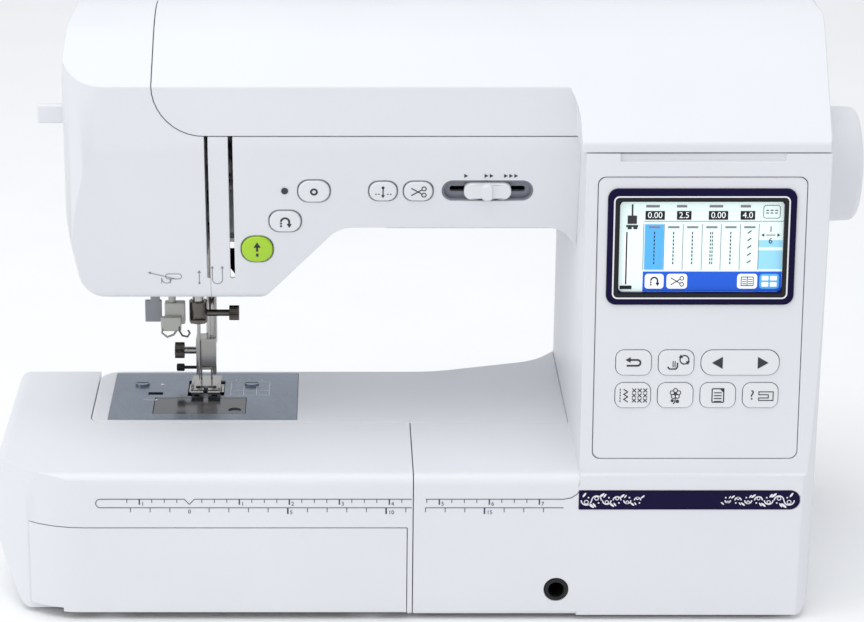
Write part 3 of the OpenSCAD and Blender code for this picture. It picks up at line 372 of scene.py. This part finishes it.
def pull_back(piece, node, reach):
    """Brings each corner that the rounding threw too far back onto the CAD surface."""
    for vertex in piece.data.vertices:
        found, spot, _, _ = nodes[node].closest_point_on_mesh(vertex.co)
        if found and (vertex.co - spot).length > reach:
            vertex.co = spot


def rounded_copy(node, radius, look, steps=2, crease=35):
    """The CAD node with its edges rounded, in the node's own place."""
    piece = nodes[node].copy()
    piece.data = nodes[node].data.copy()
    for key in list(piece.keys()):
        del piece[key]
    piece.parent = None
    bpy.context.collection.objects.link(piece)
    in_edit(
        piece,
        lambda: bpy.ops.mesh.customdata_custom_splitnormals_clear(),
        lambda: bpy.ops.mesh.remove_doubles(threshold=0.002 * MM),
        lambda: bpy.ops.mesh.dissolve_limited(angle_limit=math.radians(0.6)),
    )
    if radius:
        modify(piece, "BEVEL", width=radius, segments=steps, limit_method="ANGLE",
               angle_limit=math.radians(crease), use_clamp_overlap=False)
        pull_back(piece, node, 0.5 * radius + 0.25 * MM)
    smooth(piece, crease)
    modify(piece, "WEIGHTED_NORMAL", keep_sharp=True)
    return hand_over(piece, "looks_" + node, node, look, [node])


# %% round the covers and controls
ROUNDED = {
    "shell": {"front_cover": 0.5, "rear_cover": 0.5, "face_cover": 0.5, "free_arm_cover": 0.8,
              "top_lid": 0.7, "flatbed_attachment": 0.5, "accessory_door": 0.0, "carry_handle": 2.4,
              "threader_lever": 1.2, "control_panel": 0.3, "spool_cap": 0.6, "winder": 0.5,
              "handwheel": 1.6},
    "gloss": {"reverse_button": 0.9, "reinforce_button": 0.9, "needle_button": 0.9,
              "cutter_button": 0.9, "speed_slider": 0.7, "key_back": 0.35, "key_exchange": 0.35,
              "key_pages": 0.35, "key_stitches": 0.35, "key_embroidery": 0.35, "key_settings": 0.35,
              "key_help": 0.35},
    "lime": {"start_button": 1.1},
    "ivory": {"threader_head": 0.7},
    "slot_grey": {"speed_slot": 0.25},
    "grey": {"presser_lever": 1.0, "buttonhole_lever": 0.4, "side_sockets": 0.5},
    "black": {"power_switch": 0.6, "knee_socket": 0.4},
    "navy": {"lcd_bezel": 0.4},
    "rubber": {"rubber_feet": 0.6},
    "smoked": {"bobbin_cover": 0.25},
    "chrome": {"presser_foot": 0.2, "presser_bar": 0.3, "needle_bar": 0.3, "take_up_lever": 0.2},
    "dark_chrome": {"needle_clamp": 0.3},
}
for look, sizes in ROUNDED.items():
    for node, radius in sizes.items():
        rounded_copy(node, radius * MM, look, steps=3 if radius > 0.6 else 2)
print(sum(len(sizes) for sizes in ROUNDED.values()), "pieces rounded")

# %% finishes for the nodes that stay as they are
wear(floor, "floor")

KEPT = {
    "grey": ["base_pan", "inner_deck", "needle_bar_frame"],
    "black": ["bobbin_case", "main_motor"],
    "board": ["main_board"],
    "belt": ["belts"],
    "chrome": ["needle", "feed_dog"],
    "ground": ["main_shaft", "lower_shaft", "rotary_hook", "feed_bar"],
    "cast": ["machine_frame", "motor_pulley"],
    "plate": ["needle_plate"],
    "clear": ["bobbin"],
    "display": ["lcd_screen"],
    "navy": ["trim_strip"],
}
for look, names in KEPT.items():
    for node in names:
        wear(nodes[node], look)
print(sum(len(names) for names in KEPT.values()), "nodes given a finish")

# %% [markdown]
# ## Printing symbols
#
# A symbol on a moulding is a thin layer of ink. Each one is drawn flat, in millimetres
# about its own middle, from a few shapes: plates, bars, discs, rings and outlines with
# round corners. Then the shapes are joined, given the thickness of the ink and laid on
# their surface. Real geometry is used, because it stays sharp at any distance.

# %% the drawing shapes
INK = 0.10 * MM


def plate(x, y, width, height, turn=0.0):
    bpy.ops.mesh.primitive_plane_add(size=1, location=(x * MM, y * MM, 0), rotation=(0, 0, turn))
    mark = bpy.context.object
    mark.scale = (width * MM, height * MM, 1)
    return settle(mark)


def bar(x0, y0, x1, y1, line):
    """A straight stroke between two points."""
    length = math.hypot(x1 - x0, y1 - y0) + 0.6 * line
    return plate((x0 + x1) / 2, (y0 + y1) / 2, length, line, math.atan2(y1 - y0, x1 - x0))


def strokes(points, line):
    return [bar(*start, *end, line) for start, end in zip(points, points[1:])]


def disc(x, y, radius, sides=20, turn=0.0):
    bpy.ops.mesh.primitive_circle_add(vertices=sides, radius=radius * MM, fill_type="NGON",
                                      location=(x * MM, y * MM, 0), rotation=(0, 0, turn))
    return settle(bpy.context.object)


def triangle(x, y, radius, turn):
    """A solid arrowhead that points along turn."""
    return disc(x, y, radius, 3, turn - math.pi / 2)


def hollow(mark, line):
    """Leaves only a line along the mark's edge."""
    in_edit(mark, lambda: bpy.ops.mesh.inset(thickness=line * MM),
            lambda: bpy.ops.mesh.delete(type="FACE"))
    return mark


def pill(x, y, width, height, radius):
    mark = plate(x, y, width, height)
    in_edit(mark, lambda: bpy.ops.mesh.bevel(offset=radius * MM, segments=6, affect="VERTICES"))
    return mark


def outline(x, y, width, height, radius, line):
    return hollow(pill(x, y, width, height, radius), line)


def ring(x, y, radius, line):
    return hollow(disc(x, y, radius, 28), line)


def half_ring(x, y, radius, line, keep):
    """The half of a ring on the side that keep points to."""
    mark = ring(x, y, radius, line)
    in_edit(mark, lambda: bpy.ops.mesh.bisect(plane_co=(x * MM, y * MM, 0), plane_no=keep,
                                              clear_inner=True))
    return mark


def digits(text, x, y, size):
    """A number in the plain built-in face."""
    bpy.ops.object.text_add(location=(x * MM, y * MM, 0))
    mark = bpy.context.object
    mark.data.body = text
    mark.data.size = size * MM
    mark.data.align_x = "CENTER"
    mark.data.align_y = "CENTER"
    only(mark)
    bpy.ops.object.convert(target="MESH")
    return settle(mark)


def flat_list(marks):
    """One flat list of shapes, whatever lists they came in."""
    return [m for group in marks for m in (group if isinstance(group, list) else [group])]


def lay(marks, name, point, up, node, look, lift=0.02, thick=INK):
    """Joins flat shapes, gives them thickness and lays them on a surface at point."""
    parts = flat_list(marks)
    deselect()
    for part in parts:
        part.select_set(True)
    bpy.context.view_layer.objects.active = parts[0]
    if len(parts) > 1:
        bpy.ops.object.join()
    piece = bpy.context.view_layer.objects.active
    modify(piece, "SOLIDIFY", thickness=thick, offset=1)
    out = ACROSS.cross(up)
    turn = Matrix((ACROSS, up, out)).transposed().to_4x4()
    piece.matrix_world = Matrix.Translation(point + out * lift * MM) @ turn
    settle(piece)
    piece.name = name
    wear(piece, look)
    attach(piece, body_of[node])
    return piece


# %% [markdown]
# ## Symbols of the panel keys
#
# Each key carries one dark symbol: a return arrow, a foot and needle exchange, two page
# arrows, a choice of stitches, a flower for embroidery, a page of settings and a question
# mark beside a small machine. They are this lesson's own plain drawings.

# %% the key symbols
RIGHT, LEFT, UP, DOWN = 0.0, math.pi, math.pi / 2, -math.pi / 2


def return_arrow():
    return [bar(-1.8, 1.5, 1.9, 1.5, 0.9), half_ring(1.9, 0, 1.95, 0.9, (1, 0, 0)),
            bar(-3.2, -1.5, 1.9, -1.5, 0.9), triangle(-2.4, 1.5, 1.7, LEFT)]


def exchange():
    foot = strokes([(-4.2, -2.2), (-3.4, -3.2), (-0.2, -3.2), (0.6, -2.2), (0.6, -0.2)], 0.7)
    needle_mark = [bar(-1.6, -2.2, -1.6, 0.8, 0.45), bar(-0.6, -2.2, -0.6, 0.8, 0.45)]
    turning = [ring(4, 1.6, 2.5, 0.6), triangle(2.2, 3.2, 1.2, UP), triangle(5.8, 0.2, 1.2, DOWN)]
    return foot + needle_mark + turning


def page_arrows():
    return [triangle(-10.6, 0, 3.6, LEFT), triangle(10.6, 0, 3.6, RIGHT)]


def stitch_choice():
    dashes = [plate(-6.4, 3 - 1.5 * i, 0.5, 0.9) for i in range(5)]
    zigzag = strokes([(-4.6 + 2 * (i % 2), 3.2 - 1.3 * i) for i in range(6)], 0.5)
    crosses = []
    for x in (0.6, 3.4, 6.2):
        for i in range(3):
            y = 2.6 - 2.6 * i
            crosses += [bar(x - 0.9, y - 0.9, x + 0.9, y + 0.9, 0.45),
                        bar(x - 0.9, y + 0.9, x + 0.9, y - 0.9, 0.45)]
    return dashes + zigzag + crosses


def flower():
    petals = [ring(1.7 * math.cos(a), 0.9 + 1.7 * math.sin(a), 1.25, 0.42)
              for a in [math.radians(90 + 72 * i) for i in range(5)]]
    stem = strokes([(0, -1.4), (-0.2, -3.4), (-0.9, -4.3)], 0.5)
    leaves = [disc(1.1, -3.1, 0.9, 12), disc(-1.5, -2.7, 0.8, 12)]
    return petals + [disc(0, 0.9, 0.6)] + stem + leaves


def settings_page():
    page = [outline(0, 0, 6.4, 7.6, 0.7, 0.55), triangle(2.3, 2.9, 1.3, math.radians(45))]
    return page + [plate(0, 1.4 - 1.5 * i, 3.8, 0.5) for i in range(4)]


def question():
    machine = strokes([(-0.8, -2.6), (6.4, -2.6), (6.4, 1.9), (-0.8, 1.9), (-0.8, 0.4), (4.0, 0.4),
                       (4.0, -1.3), (-0.8, -1.3), (-0.8, -2.6)], 0.45)
    return [digits("?", -4.2, 0, 7.0)] + machine


KEY_SYMBOLS = {"key_back": return_arrow, "key_exchange": exchange, "key_pages": page_arrows,
               "key_stitches": stitch_choice, "key_embroidery": flower, "key_settings": settings_page,
               "key_help": question}
for node, symbol in KEY_SYMBOLS.items():
    lay(symbol(), "symbol_" + node, face_point(node, panel_up, panel_out), panel_up, node, "ink")
print(len(KEY_SYMBOLS), "key symbols")

# %% [markdown]
# ## Symbols of the arm buttons
#
# The round button reinforces, the bent arrow sews backwards, the needle mark moves the
# needle up and down and the scissors cut. The start button has an arrow, and three groups
# of arrowheads stand over the speed slider.

# %% the arm symbols
def reverse_mark(size=1.0):
    dashes = [plate(-2.1 * size, (-0.9 - 1.5 * i) * size, 1.0 * size, 1.0 * size) for i in range(2)]
    return [half_ring(0, 0.1, 2.6 * size, 1.0 * size, (0, 1, 0)),
            bar(2.1 * size, 0, 2.1 * size, -1.4 * size, 1.0 * size),
            triangle(2.1 * size, -1.9 * size, 1.5 * size, DOWN)] + dashes


def needle_mark():
    dots = [plate(-3.6 + 1.5 * i, -1.3, 0.8, 0.45) for i in range(6) if i not in (2, 3)]
    return [bar(0, -2.6, 0, 2.6, 0.6), triangle(0, -2.4, 1.1, DOWN), disc(0, 2.4, 0.75)] + dots


def scissors(size=1.0):
    blades = [bar(-3.4 * size, 2.0 * size, 2.0 * size, -1.3 * size, 0.55 * size),
              bar(-3.4 * size, -2.0 * size, 2.0 * size, 1.3 * size, 0.55 * size)]
    rings = [ring(2.9 * size, side * 1.8 * size, 1.35 * size, 0.5 * size) for side in (1, -1)]
    return blades + rings


def start_mark():
    return [bar(0, -0.6, 0, 2.2, 1.1), triangle(0, 2.4, 2.1, UP), plate(0, -3.0, 1.3, 1.7)]


BUTTON_SYMBOLS = {"reinforce_button": lambda: [ring(0, 0, 2.0, 1.0)], "reverse_button": reverse_mark,
                  "needle_button": needle_mark, "cutter_button": scissors, "start_button": start_mark}
for node, symbol in BUTTON_SYMBOLS.items():
    lay(symbol(), "symbol_" + node, face_point(node, arm_up, arm_out), arm_up, node, "ink")

BUTTON_PROUD = 1.2 * MM


def arm_place(node, dx, dz, proud=0.0):
    """A place on the arm's front, dx and dz millimetres from the middle of a button."""
    on_face = face_point(node, arm_up, arm_out) - arm_out * BUTTON_PROUD
    return on_face + ACROSS * dx * MM + arm_up * dz * MM + arm_out * proud


BUTTON_FLANGES = 2.4
OUTLINE_GAP = 1.3
BUTTON_HEIGHTS = {"reinforce_button": 12.0, "reverse_button": 11.8, "needle_button": 10.6,
                  "cutter_button": 10.6, "start_button": 14.6}
for node, height in BUTTON_HEIGHTS.items():
    width = (high(node).x - low(node).x) / MM - BUTTON_FLANGES
    lay([outline(0, 0, width + OUTLINE_GAP, height + OUTLINE_GAP, height / 2.1, 0.35)], "outline_" + node,
        arm_place(node, 0, 0), arm_up, "front_cover", "pale_ink")

SPEED_HEADS = [[-11.4], [-1.1, 1.5], [8.8, 11.4, 14.0]]
heads = [triangle(x, 8.6, 1.25, RIGHT) for group in SPEED_HEADS for x in group]
SLOT_DEPTH = 0.65 * MM
slot_middle = face_point("speed_slot", arm_up, arm_out) + arm_out * SLOT_DEPTH
lay(heads, "speed_marks", slot_middle, arm_up, "front_cover", "ink")
lay([disc(0, 0, 1.75, 28)], "ready_light", arm_place("reinforce_button", -14.9, 0), arm_up,
    "front_cover", "ink",
    thick=0.5 * MM)
print("arm symbols done")

# %% [markdown]
# ## The display
#
# The display shows a page of stitches: a header with four values, six columns of stitch
# lines of which the first is chosen, a page counter and a blue bar with four buttons.
# Every patch is a thin lit layer, and later patches lie a little higher. The frame round
# it gets its bright line and the dark border inside.

# %% the frame round the display
frame_face = face_point("lcd_bezel", panel_up, panel_out)
lay([outline(-0.2, -0.3, 87.5, 52.3, 2.8, 0.75)], "display_line", frame_face, panel_up, "lcd_bezel",
    "white_ink")
lay([outline(-0.2, -0.3, 86.0, 50.8, 2.4, 2.1)], "display_border", frame_face, panel_up, "lcd_bezel",
    "black")

# %% the display page
display_face = face_point("lcd_screen", panel_up, panel_out)


def show(marks, name, look, layer):
    return lay(marks, "display_" + name, display_face, panel_up, "lcd_screen", look,
               lift=0.03 + 0.06 * layer, thick=0.05 * MM)


STITCH_COLUMNS = [-23.2, -13.7, -4.3, 5.2, 14.7, 24.1]
BAR_BUTTONS = [(-22.7, 9.4), (-11.4, 10.3), (23.7, 10.0), (34.7, 9.8)]
VALUES = [("0.00", -23.1, 9.6), ("2.5", -8.7, 7.2), ("0.00", 8.3, 9.6), ("4.0", 22.9, 7.2)]

show([plate(6.1, -18.1, 69.2, 10.2)], "bar", "display_blue", 0)
show([plate(-23.3, -0.5, 9.3, 23.2), pill(34.7, -18.0, 9.8, 7.6, 1.6)], "chosen", "display_sky", 1)
show([plate(34.6, -7.0, 11.9, 9.6), plate(34.6, 1.2, 11.9, 3.6)], "shade", "display_aqua", 0)
show([pill(x, -18.0, w, 7.6, 1.6) for x, w in BAR_BUTTONS[:3]] + [plate(-36.9, -6.3, 2.6, 26.0)],
     "buttons", "display_white", 1)
show([plate(x, 15.6, w, 4.4) for _, x, w in VALUES]
     + [plate(-36.9, -21.1, 5.9, 1.8), plate(-36.9, -6.2, 0.7, 26.6)],
     "boxes", "black", 2)
show([digits(text, x, 15.6, 4.3) for text, x, _ in VALUES], "values", "display_white", 3)
headings = [plate(x - 1.2, 20.2, w * 0.7, 1.2) for _, x, w in VALUES]
number_row = [plate(x, 9.6, 5.6, 1.0) for x in STITCH_COLUMNS]
dividers = [plate(x, -0.5, 0.3, 23.4) for x in (-28.6, -18.4, -9.0, 0.5, 9.9, 19.4, 28.7)]
dividers += [plate(6.1, 12.6, 69.2, 0.3), outline(34.8, 17.4, 8.6, 6.8, 1.4, 0.35)]
show(headings + number_row + dividers, "lines", "pale_ink", 2)

# %% the stitches and icons of the page
def stitch_line(x, kind):
    rows = [6.6 - 1.9 * i for i in range(9)]
    if kind == "zigzag":
        return strokes([(x - 1.2 + 2.4 * (i % 2), rows[i]) for i in range(9)], 0.45)
    if kind == "slant":
        return [bar(x - 0.8, row, x + 0.8, row + 1.2, 0.5) for row in rows[::2]]
    if kind == "pairs":
        return [plate(x + side, row, 0.45, 1.2) for row in rows for side in (-0.5, 0.5)]
    return [plate(x, row, 0.55, 1.25) for row in rows]


KINDS = ["plain", "plain", "plain", "pairs", "plain", "slant"]
stitches = [stitch_line(x, kind) for x, kind in zip(STITCH_COLUMNS, KINDS)]
foot_icon = [plate(-34.4, 18.2, 0.8, 6.0), plate(-34.4, 13.4, 4.6, 4.2), plate(-34.4, 10.2, 6.0, 1.0),
             plate(-35.6, 9.2, 2.0, 1.2), plate(-32.8, 9.2, 2.0, 1.2)]
counter = [digits("1", 34.6, 8.4, 4.2), plate(34.6, 5.6, 4.6, 0.35), digits("6", 34.6, 2.6, 4.2),
           triangle(30.9, 5.6, 1.0, LEFT), triangle(38.4, 5.6, 1.0, RIGHT)]
book = [outline(23.7, -18.0, 6.4, 4.8, 0.5, 0.4), plate(23.7, -18.0, 0.4, 4.4)]
book += [plate(23.7 + x, -17.0 - 1.1 * i, 1.9, 0.35) for i in range(3) for x in (-1.5, 1.5)]
save = [plate(32.6 + x, 16.8 + y, 1.4, 0.45) for x in (0, 2.2, 4.4) for y in (0, 1.3)]


def moved(marks, dx, dy):
    """The same shapes, carried to another place."""
    for mark in flat_list(marks):
        mark.location = (dx * MM, dy * MM, 0)
        settle(mark)
    return marks


turn_icon = moved(reverse_mark(0.8), -22.7, -17.8)
cut_icon = moved(scissors(0.85), -11.4, -18.0)
show(stitches + foot_icon + counter + book + save + turn_icon + cut_icon, "symbols", "ink", 3)
tiles = [pill(34.7 + x, -18.0 + y, 3.4, 2.3, 0.4) for x in (-2.1, 2.1) for y in (-1.6, 1.6)]
show(tiles, "tiles", "display_white", 3)
print("display page done")

# %% [markdown]
# ## The ruler on the bed
#
# Two scales run along the front of the bed and share their zero, which is the needle. The
# upper one counts quarter inches from its line downwards, the lower one centimetres. A
# notch in the upper line marks the needle. The scale crosses the seam of the flat bed, so
# it is drawn once for the part that slides off and once for the part that stays.

# %% the two scales
QUARTER = 25.4 / 4
TOP_LINE, LOW_LINE = -12.8, -17.5
LINE = 0.36
zero = Vector((needle.x, front_y, bed_top))


def scale_marks(start, end, quarters, tenths):
    marks = [bar(start, LOW_LINE, end, LOW_LINE, LINE)]
    for i in quarters:
        inch = i % 4 == 0
        if i:
            length = 3.0 if inch else 2.0
            marks.append(plate(i * QUARTER, TOP_LINE - length / 2, 0.7 if inch else LINE, length))
            if inch:
                marks.append(digits(str(abs(i) // 4), i * QUARTER + 1.7, TOP_LINE - 2.6, 3.0))
    for i in tenths:
        five = i % 5 == 0 and i != 0
        if i:
            marks.append(plate(i * 10, LOW_LINE - (1.7 if five else 1.2), 0.8 if five else LINE,
                               3.4 if five else 2.4))
            if five:
                marks.append(digits(str(abs(i)), i * 10 + (1.8 if i < 10 else 2.6), LOW_LINE - 2.6, 3.0))
    return marks


left_start = (low("flatbed_attachment").x - needle.x) / MM + 57.5
left_stop = (high("flatbed_attachment").x - needle.x) / MM - 0.7
right_start, right_stop = left_stop + 7.3, left_stop + 77.2
left_scale = scale_marks(left_start + 2.3, left_stop, range(-5, 18), range(-3, 12))
left_scale += [bar(left_start + 2.3, TOP_LINE, -2.6, TOP_LINE, LINE),
               bar(2.6, TOP_LINE, left_stop, TOP_LINE, LINE)]
left_scale += strokes([(-2.6, TOP_LINE), (0, TOP_LINE - 2.8), (2.6, TOP_LINE)], LINE)
left_scale += [half_ring(left_start + 2.35, (TOP_LINE + LOW_LINE) / 2, 2.53, LINE, (-1, 0, 0)),
               digits("0", 0, LOW_LINE - 2.2, 3.0)]
lay(left_scale, "ruler_left", zero, UPRIGHT, "flatbed_attachment", "navy_ink")

right_scale = scale_marks(right_start, right_stop, range(19, 29), range(12, 19))
strip_low, strip_high = low("trim_strip"), high("trim_strip")
strip_top = (strip_high.z - bed_top) / MM
strip_start = (strip_low.x - needle.x) / MM
right_scale += [bar(right_start, TOP_LINE, right_stop, TOP_LINE, LINE)]
right_scale += strokes([(right_stop, TOP_LINE), (right_stop + 4, TOP_LINE + 0.8),
                        (right_stop + 7, TOP_LINE + 3),
                        (strip_start, strip_top)], LINE)
lay(right_scale, "ruler_right", zero, UPRIGHT, "front_cover", "navy_ink")
print("ruler from", round(left_start, 1), "to", round(right_stop, 1), "mm right of the needle")

# %% [markdown]
# ## The printed strip
#
# The dark strip under the panel is decorated at both ends with a curling stem and small
# leaves in white, drawn here as half rings, leaf shapes and dots.

# %% curls and leaves
def leaf(x, y, length, turn):
    mark = disc(0, 0, length / 2, 16)
    mark.scale = (1, 0.36, 1)
    settle(mark)
    mark.rotation_euler = (0, 0, turn)
    mark.location = (x * MM, y * MM, 0)
    return settle(mark)


def vine(start, end, height):
    """A stem of half rings that swings up and down and carries leaves and dots."""
    step = 5.2 if end > start else -5.2
    marks = []
    for i in range(int(abs(end - start) / 5.2)):
        x = start + step * i
        shrink = 1 - 0.07 * i
        side = 1 if i % 2 else -1
        marks.append(half_ring(x, 0, 2.9 * shrink, 0.6, (0, side, 0)))
        marks.append(ring(x, side * 1.0, 1.2 * shrink, 0.4))
        marks.append(leaf(x + step * 0.5, side * height * shrink, 3.6 * shrink, math.radians(40) * side))
        marks.append(leaf(x - step * 0.2, -side * height * shrink, 2.8 * shrink, math.radians(-55) * side))
        marks.append(disc(x + step * 0.2, -side * height * 0.5, 0.42, 10))
    return marks


strip_face = face_point("trim_strip", UPRIGHT, TO_FRONT)
half_strip = (strip_high.x - strip_low.x) / MM / 2
vines = vine(3.6 - half_strip, 40 - half_strip, 2.9) + vine(half_strip - 5.4, half_strip - 42, 2.9)
lay(vines, "strip_vines", strip_face, UPRIGHT, "trim_strip", "white_ink")
print("strip", round(2 * half_strip, 1), "mm wide")

# %% [markdown]
# ## Round the needle
#
# The plate carries a grid of sewing lines. The two clamp screws get knurled heads, the
# threader its hooks, and the head shows the path of the thread.

# %% marks on the needle plate
Y_AXIS = Vector((0, 1, 0))
plate_face = Vector((needle.x, needle.y, bed_top))
grid = [plate(24, y, 28, 0.35) for y in (16, 9, 2, -5)]
grid += [plate(x, 5.5, 0.35, 21) for x in (10, 17, 24, 31, 38)]
grid += [triangle(-21, 12, 1.7, RIGHT), bar(-30, -12, -24, -12, 0.5), triangle(-23, -12, 1.3, RIGHT)]
grid += [digits(str(i), 12.4 + 7 * i, 18.6, 3.0) for i in range(1, 4)]
lay(grid, "plate_lines", plate_face, Y_AXIS, "needle_plate", "white_ink", thick=0.05 * MM)


# %% knurled screw heads
def knurled_head(name, centre, radius, length, node, look, teeth=26):
    """A screw head whose rim has fine teeth."""
    bpy.ops.mesh.primitive_cylinder_add(vertices=2 * teeth, radius=radius * MM, depth=length * MM)
    head = bpy.context.object
    rim = [v for v in head.data.vertices if v.index % 4 < 2]
    for vertex in rim:
        vertex.co.x *= 0.9
        vertex.co.y *= 0.9
    modify(head, "BEVEL", width=0.16 * MM, segments=2, limit_method="ANGLE", angle_limit=math.radians(50))
    head.rotation_euler = (0, math.pi / 2, 0)
    head.location = centre
    settle(head)
    smooth(head, 40)
    return hand_over(head, name, node, look)


clamp_end = Vector((high("needle_clamp").x - 2.6 * MM, needle.y, middle("needle_clamp").z - 1.0 * MM))
knurled_head("clamp_screw_head", clamp_end, 4.1, 5.4, "needle_clamp", "dark_chrome")
ankle = low("presser_bar")
knurled_head("foot_screw_head", Vector((ankle.x + 2.4 * MM, needle.y + 11 * MM, ankle.z + 13 * MM)),
             4.5, 5.2,
             "presser_bar", "dark_chrome")

# %% [markdown]
# ## Small parts near the foot
#
# The foot has a short black release pin at its left. A bent wire hook hangs on the
# threader and guides the thread to the needle's eye. A grey lamp cover closes the right
# end of the head's open underside.

# %% release pin, threader hook and lamp cover
def rod_along_x(name, start, end, y, z, radius, node, look):
    """A round rod with softened ends that lies across the machine."""
    bpy.ops.mesh.primitive_cylinder_add(vertices=24, radius=radius, depth=end - start,
                                        location=((start + end) / 2, y, z), rotation=(0, math.pi / 2, 0))
    rod = settle(bpy.context.object)
    modify(rod, "BEVEL", width=radius * 0.3, segments=2, limit_method="ANGLE")
    smooth(rod)
    return hand_over(rod, name, node, look)


foot_low, foot_high = low("presser_foot"), high("presser_foot")
pin_y, pin_z = foot_low.y + 19 * MM, foot_high.z - 1.2 * MM
rod_along_x("release_pin", needle.x - 9 * MM, needle.x - 1.5 * MM, pin_y, pin_z, 0.9 * MM,
            "presser_foot", "black")
rod_along_x("release_knob", needle.x - 13 * MM, needle.x - 8.6 * MM, pin_y, pin_z, 2.1 * MM,
            "presser_foot", "black")


def wire(name, points, radius, node, look):
    """A bent wire through the points, with a round section and closed ends."""
    curve_data = bpy.data.curves.new(name, "CURVE")
    curve_data.dimensions = "3D"
    curve_data.bevel_depth = radius
    curve_data.bevel_resolution = 4
    curve_data.use_fill_caps = True
    line = curve_data.splines.new("POLY")
    line.points.add(len(points) - 1)
    for point, place in zip(line.points, points):
        point.co = tuple(place) + (1,)
    curve = bpy.data.objects.new(name, curve_data)
    bpy.context.collection.objects.link(curve)
    only(curve)
    bpy.ops.object.convert(target="MESH")
    piece = bpy.context.object
    smooth(piece, 50)
    return hand_over(piece, name, node, look)


threader_low = low("threader_head")
threader_high_x = high("threader_head").x
hook_top = Vector((threader_high_x - 3 * MM, threader_low.y + 1.2 * MM, threader_low.z + 5 * MM))
hook_steps = [(0, 0, 0), (0, -1.6, -4.5), (1.6, -2.2, -7.0), (4.4, -2.2, -7.6), (5.6, -1.4, -5.8),
              (4.6, -0.4, -4.6)]
wire("threader_hook", [hook_top + Vector(step) * MM for step in hook_steps], 0.55 * MM, "threader_head",
     "dark_chrome")
side_steps = [(-9, 0, -2), (-9.5, -2, -5.5), (-6.5, -3, -7.5), (-3, -2, -6.4), (-1.5, -0.6, -4.4)]
wire("threader_guide", [hook_top + Vector(step) * MM for step in side_steps], 0.6 * MM, "threader_head",
     "chrome")

bpy.ops.mesh.primitive_cube_add(size=1,
                                location=(needle.x + 34 * MM, needle.y - 22 * MM, head_low_z + 1.5 * MM))
lamp_cover = bpy.context.object
lamp_cover.scale = (15 * MM, 12 * MM, 9 * MM)
settle(lamp_cover)
in_edit(lamp_cover, lambda: bpy.ops.mesh.bevel(offset=2.4 * MM, segments=4))
smooth(lamp_cover)
hand_over(lamp_cover, "lamp_cover", "face_cover", "grey")

# %% [markdown]
# ## Marks on the head
#
# Thin grey marks above the needle show the thread's way: an arrow down, the U through the
# two channels, and a small sign of a thread drawn through a needle.

# %% the thread path marks
arm_base = arm_place("start_button", 0, 0)


def on_arm(x, z):
    """The point of the leaning arm front at this x and height."""
    return arm_base + ACROSS * (x - arm_base.x) + arm_up * ((z - arm_base.z) / arm_up.z)


u_turn = [bar(-2.6, 4.6, -2.6, -2.2, 0.4), bar(2.6, 4.6, 2.6, -2.2, 0.4),
          half_ring(0, -2.2, 2.8, 0.4, (0, -1, 0)),
          triangle(-2.6, 4.8, 1.0, UP), triangle(2.6, 4.8, 1.0, UP)]
lay(u_turn, "mark_u_turn", on_arm(needle.x + 13.2 * MM, head_low_z + 13.5 * MM), arm_up, "front_cover",
    "pale_ink")
down_arrow = [bar(0, -3.2, 0, 3.0, 0.4), triangle(0, 3.2, 1.1, UP), disc(0, -3.4, 0.6, 12)]
lay(down_arrow, "mark_arrow", on_arm(needle.x + 3.8 * MM, head_low_z + 12.5 * MM), arm_up, "face_cover",
    "pale_ink")
through = [bar(-8, 2.6, 5.4, -1.0, 0.45), triangle(-8.2, 2.7, 1.0, math.radians(165)),
           outline(4.0, 0.6, 8.6, 3.4, 1.6, 0.4), half_ring(0.4, -1.0, 2.6, 0.4, (0, -1, 0)),
           bar(-2.2, -0.4, -2.2, -3.4, 0.4), bar(2.2, -0.8, 2.2, -3.4, 0.4)]
lay(through, "mark_threader", on_arm(needle.x - 13.5 * MM, head_low_z + 12.5 * MM), arm_up,
    "face_cover", "pale_ink")
print("small parts and marks done")
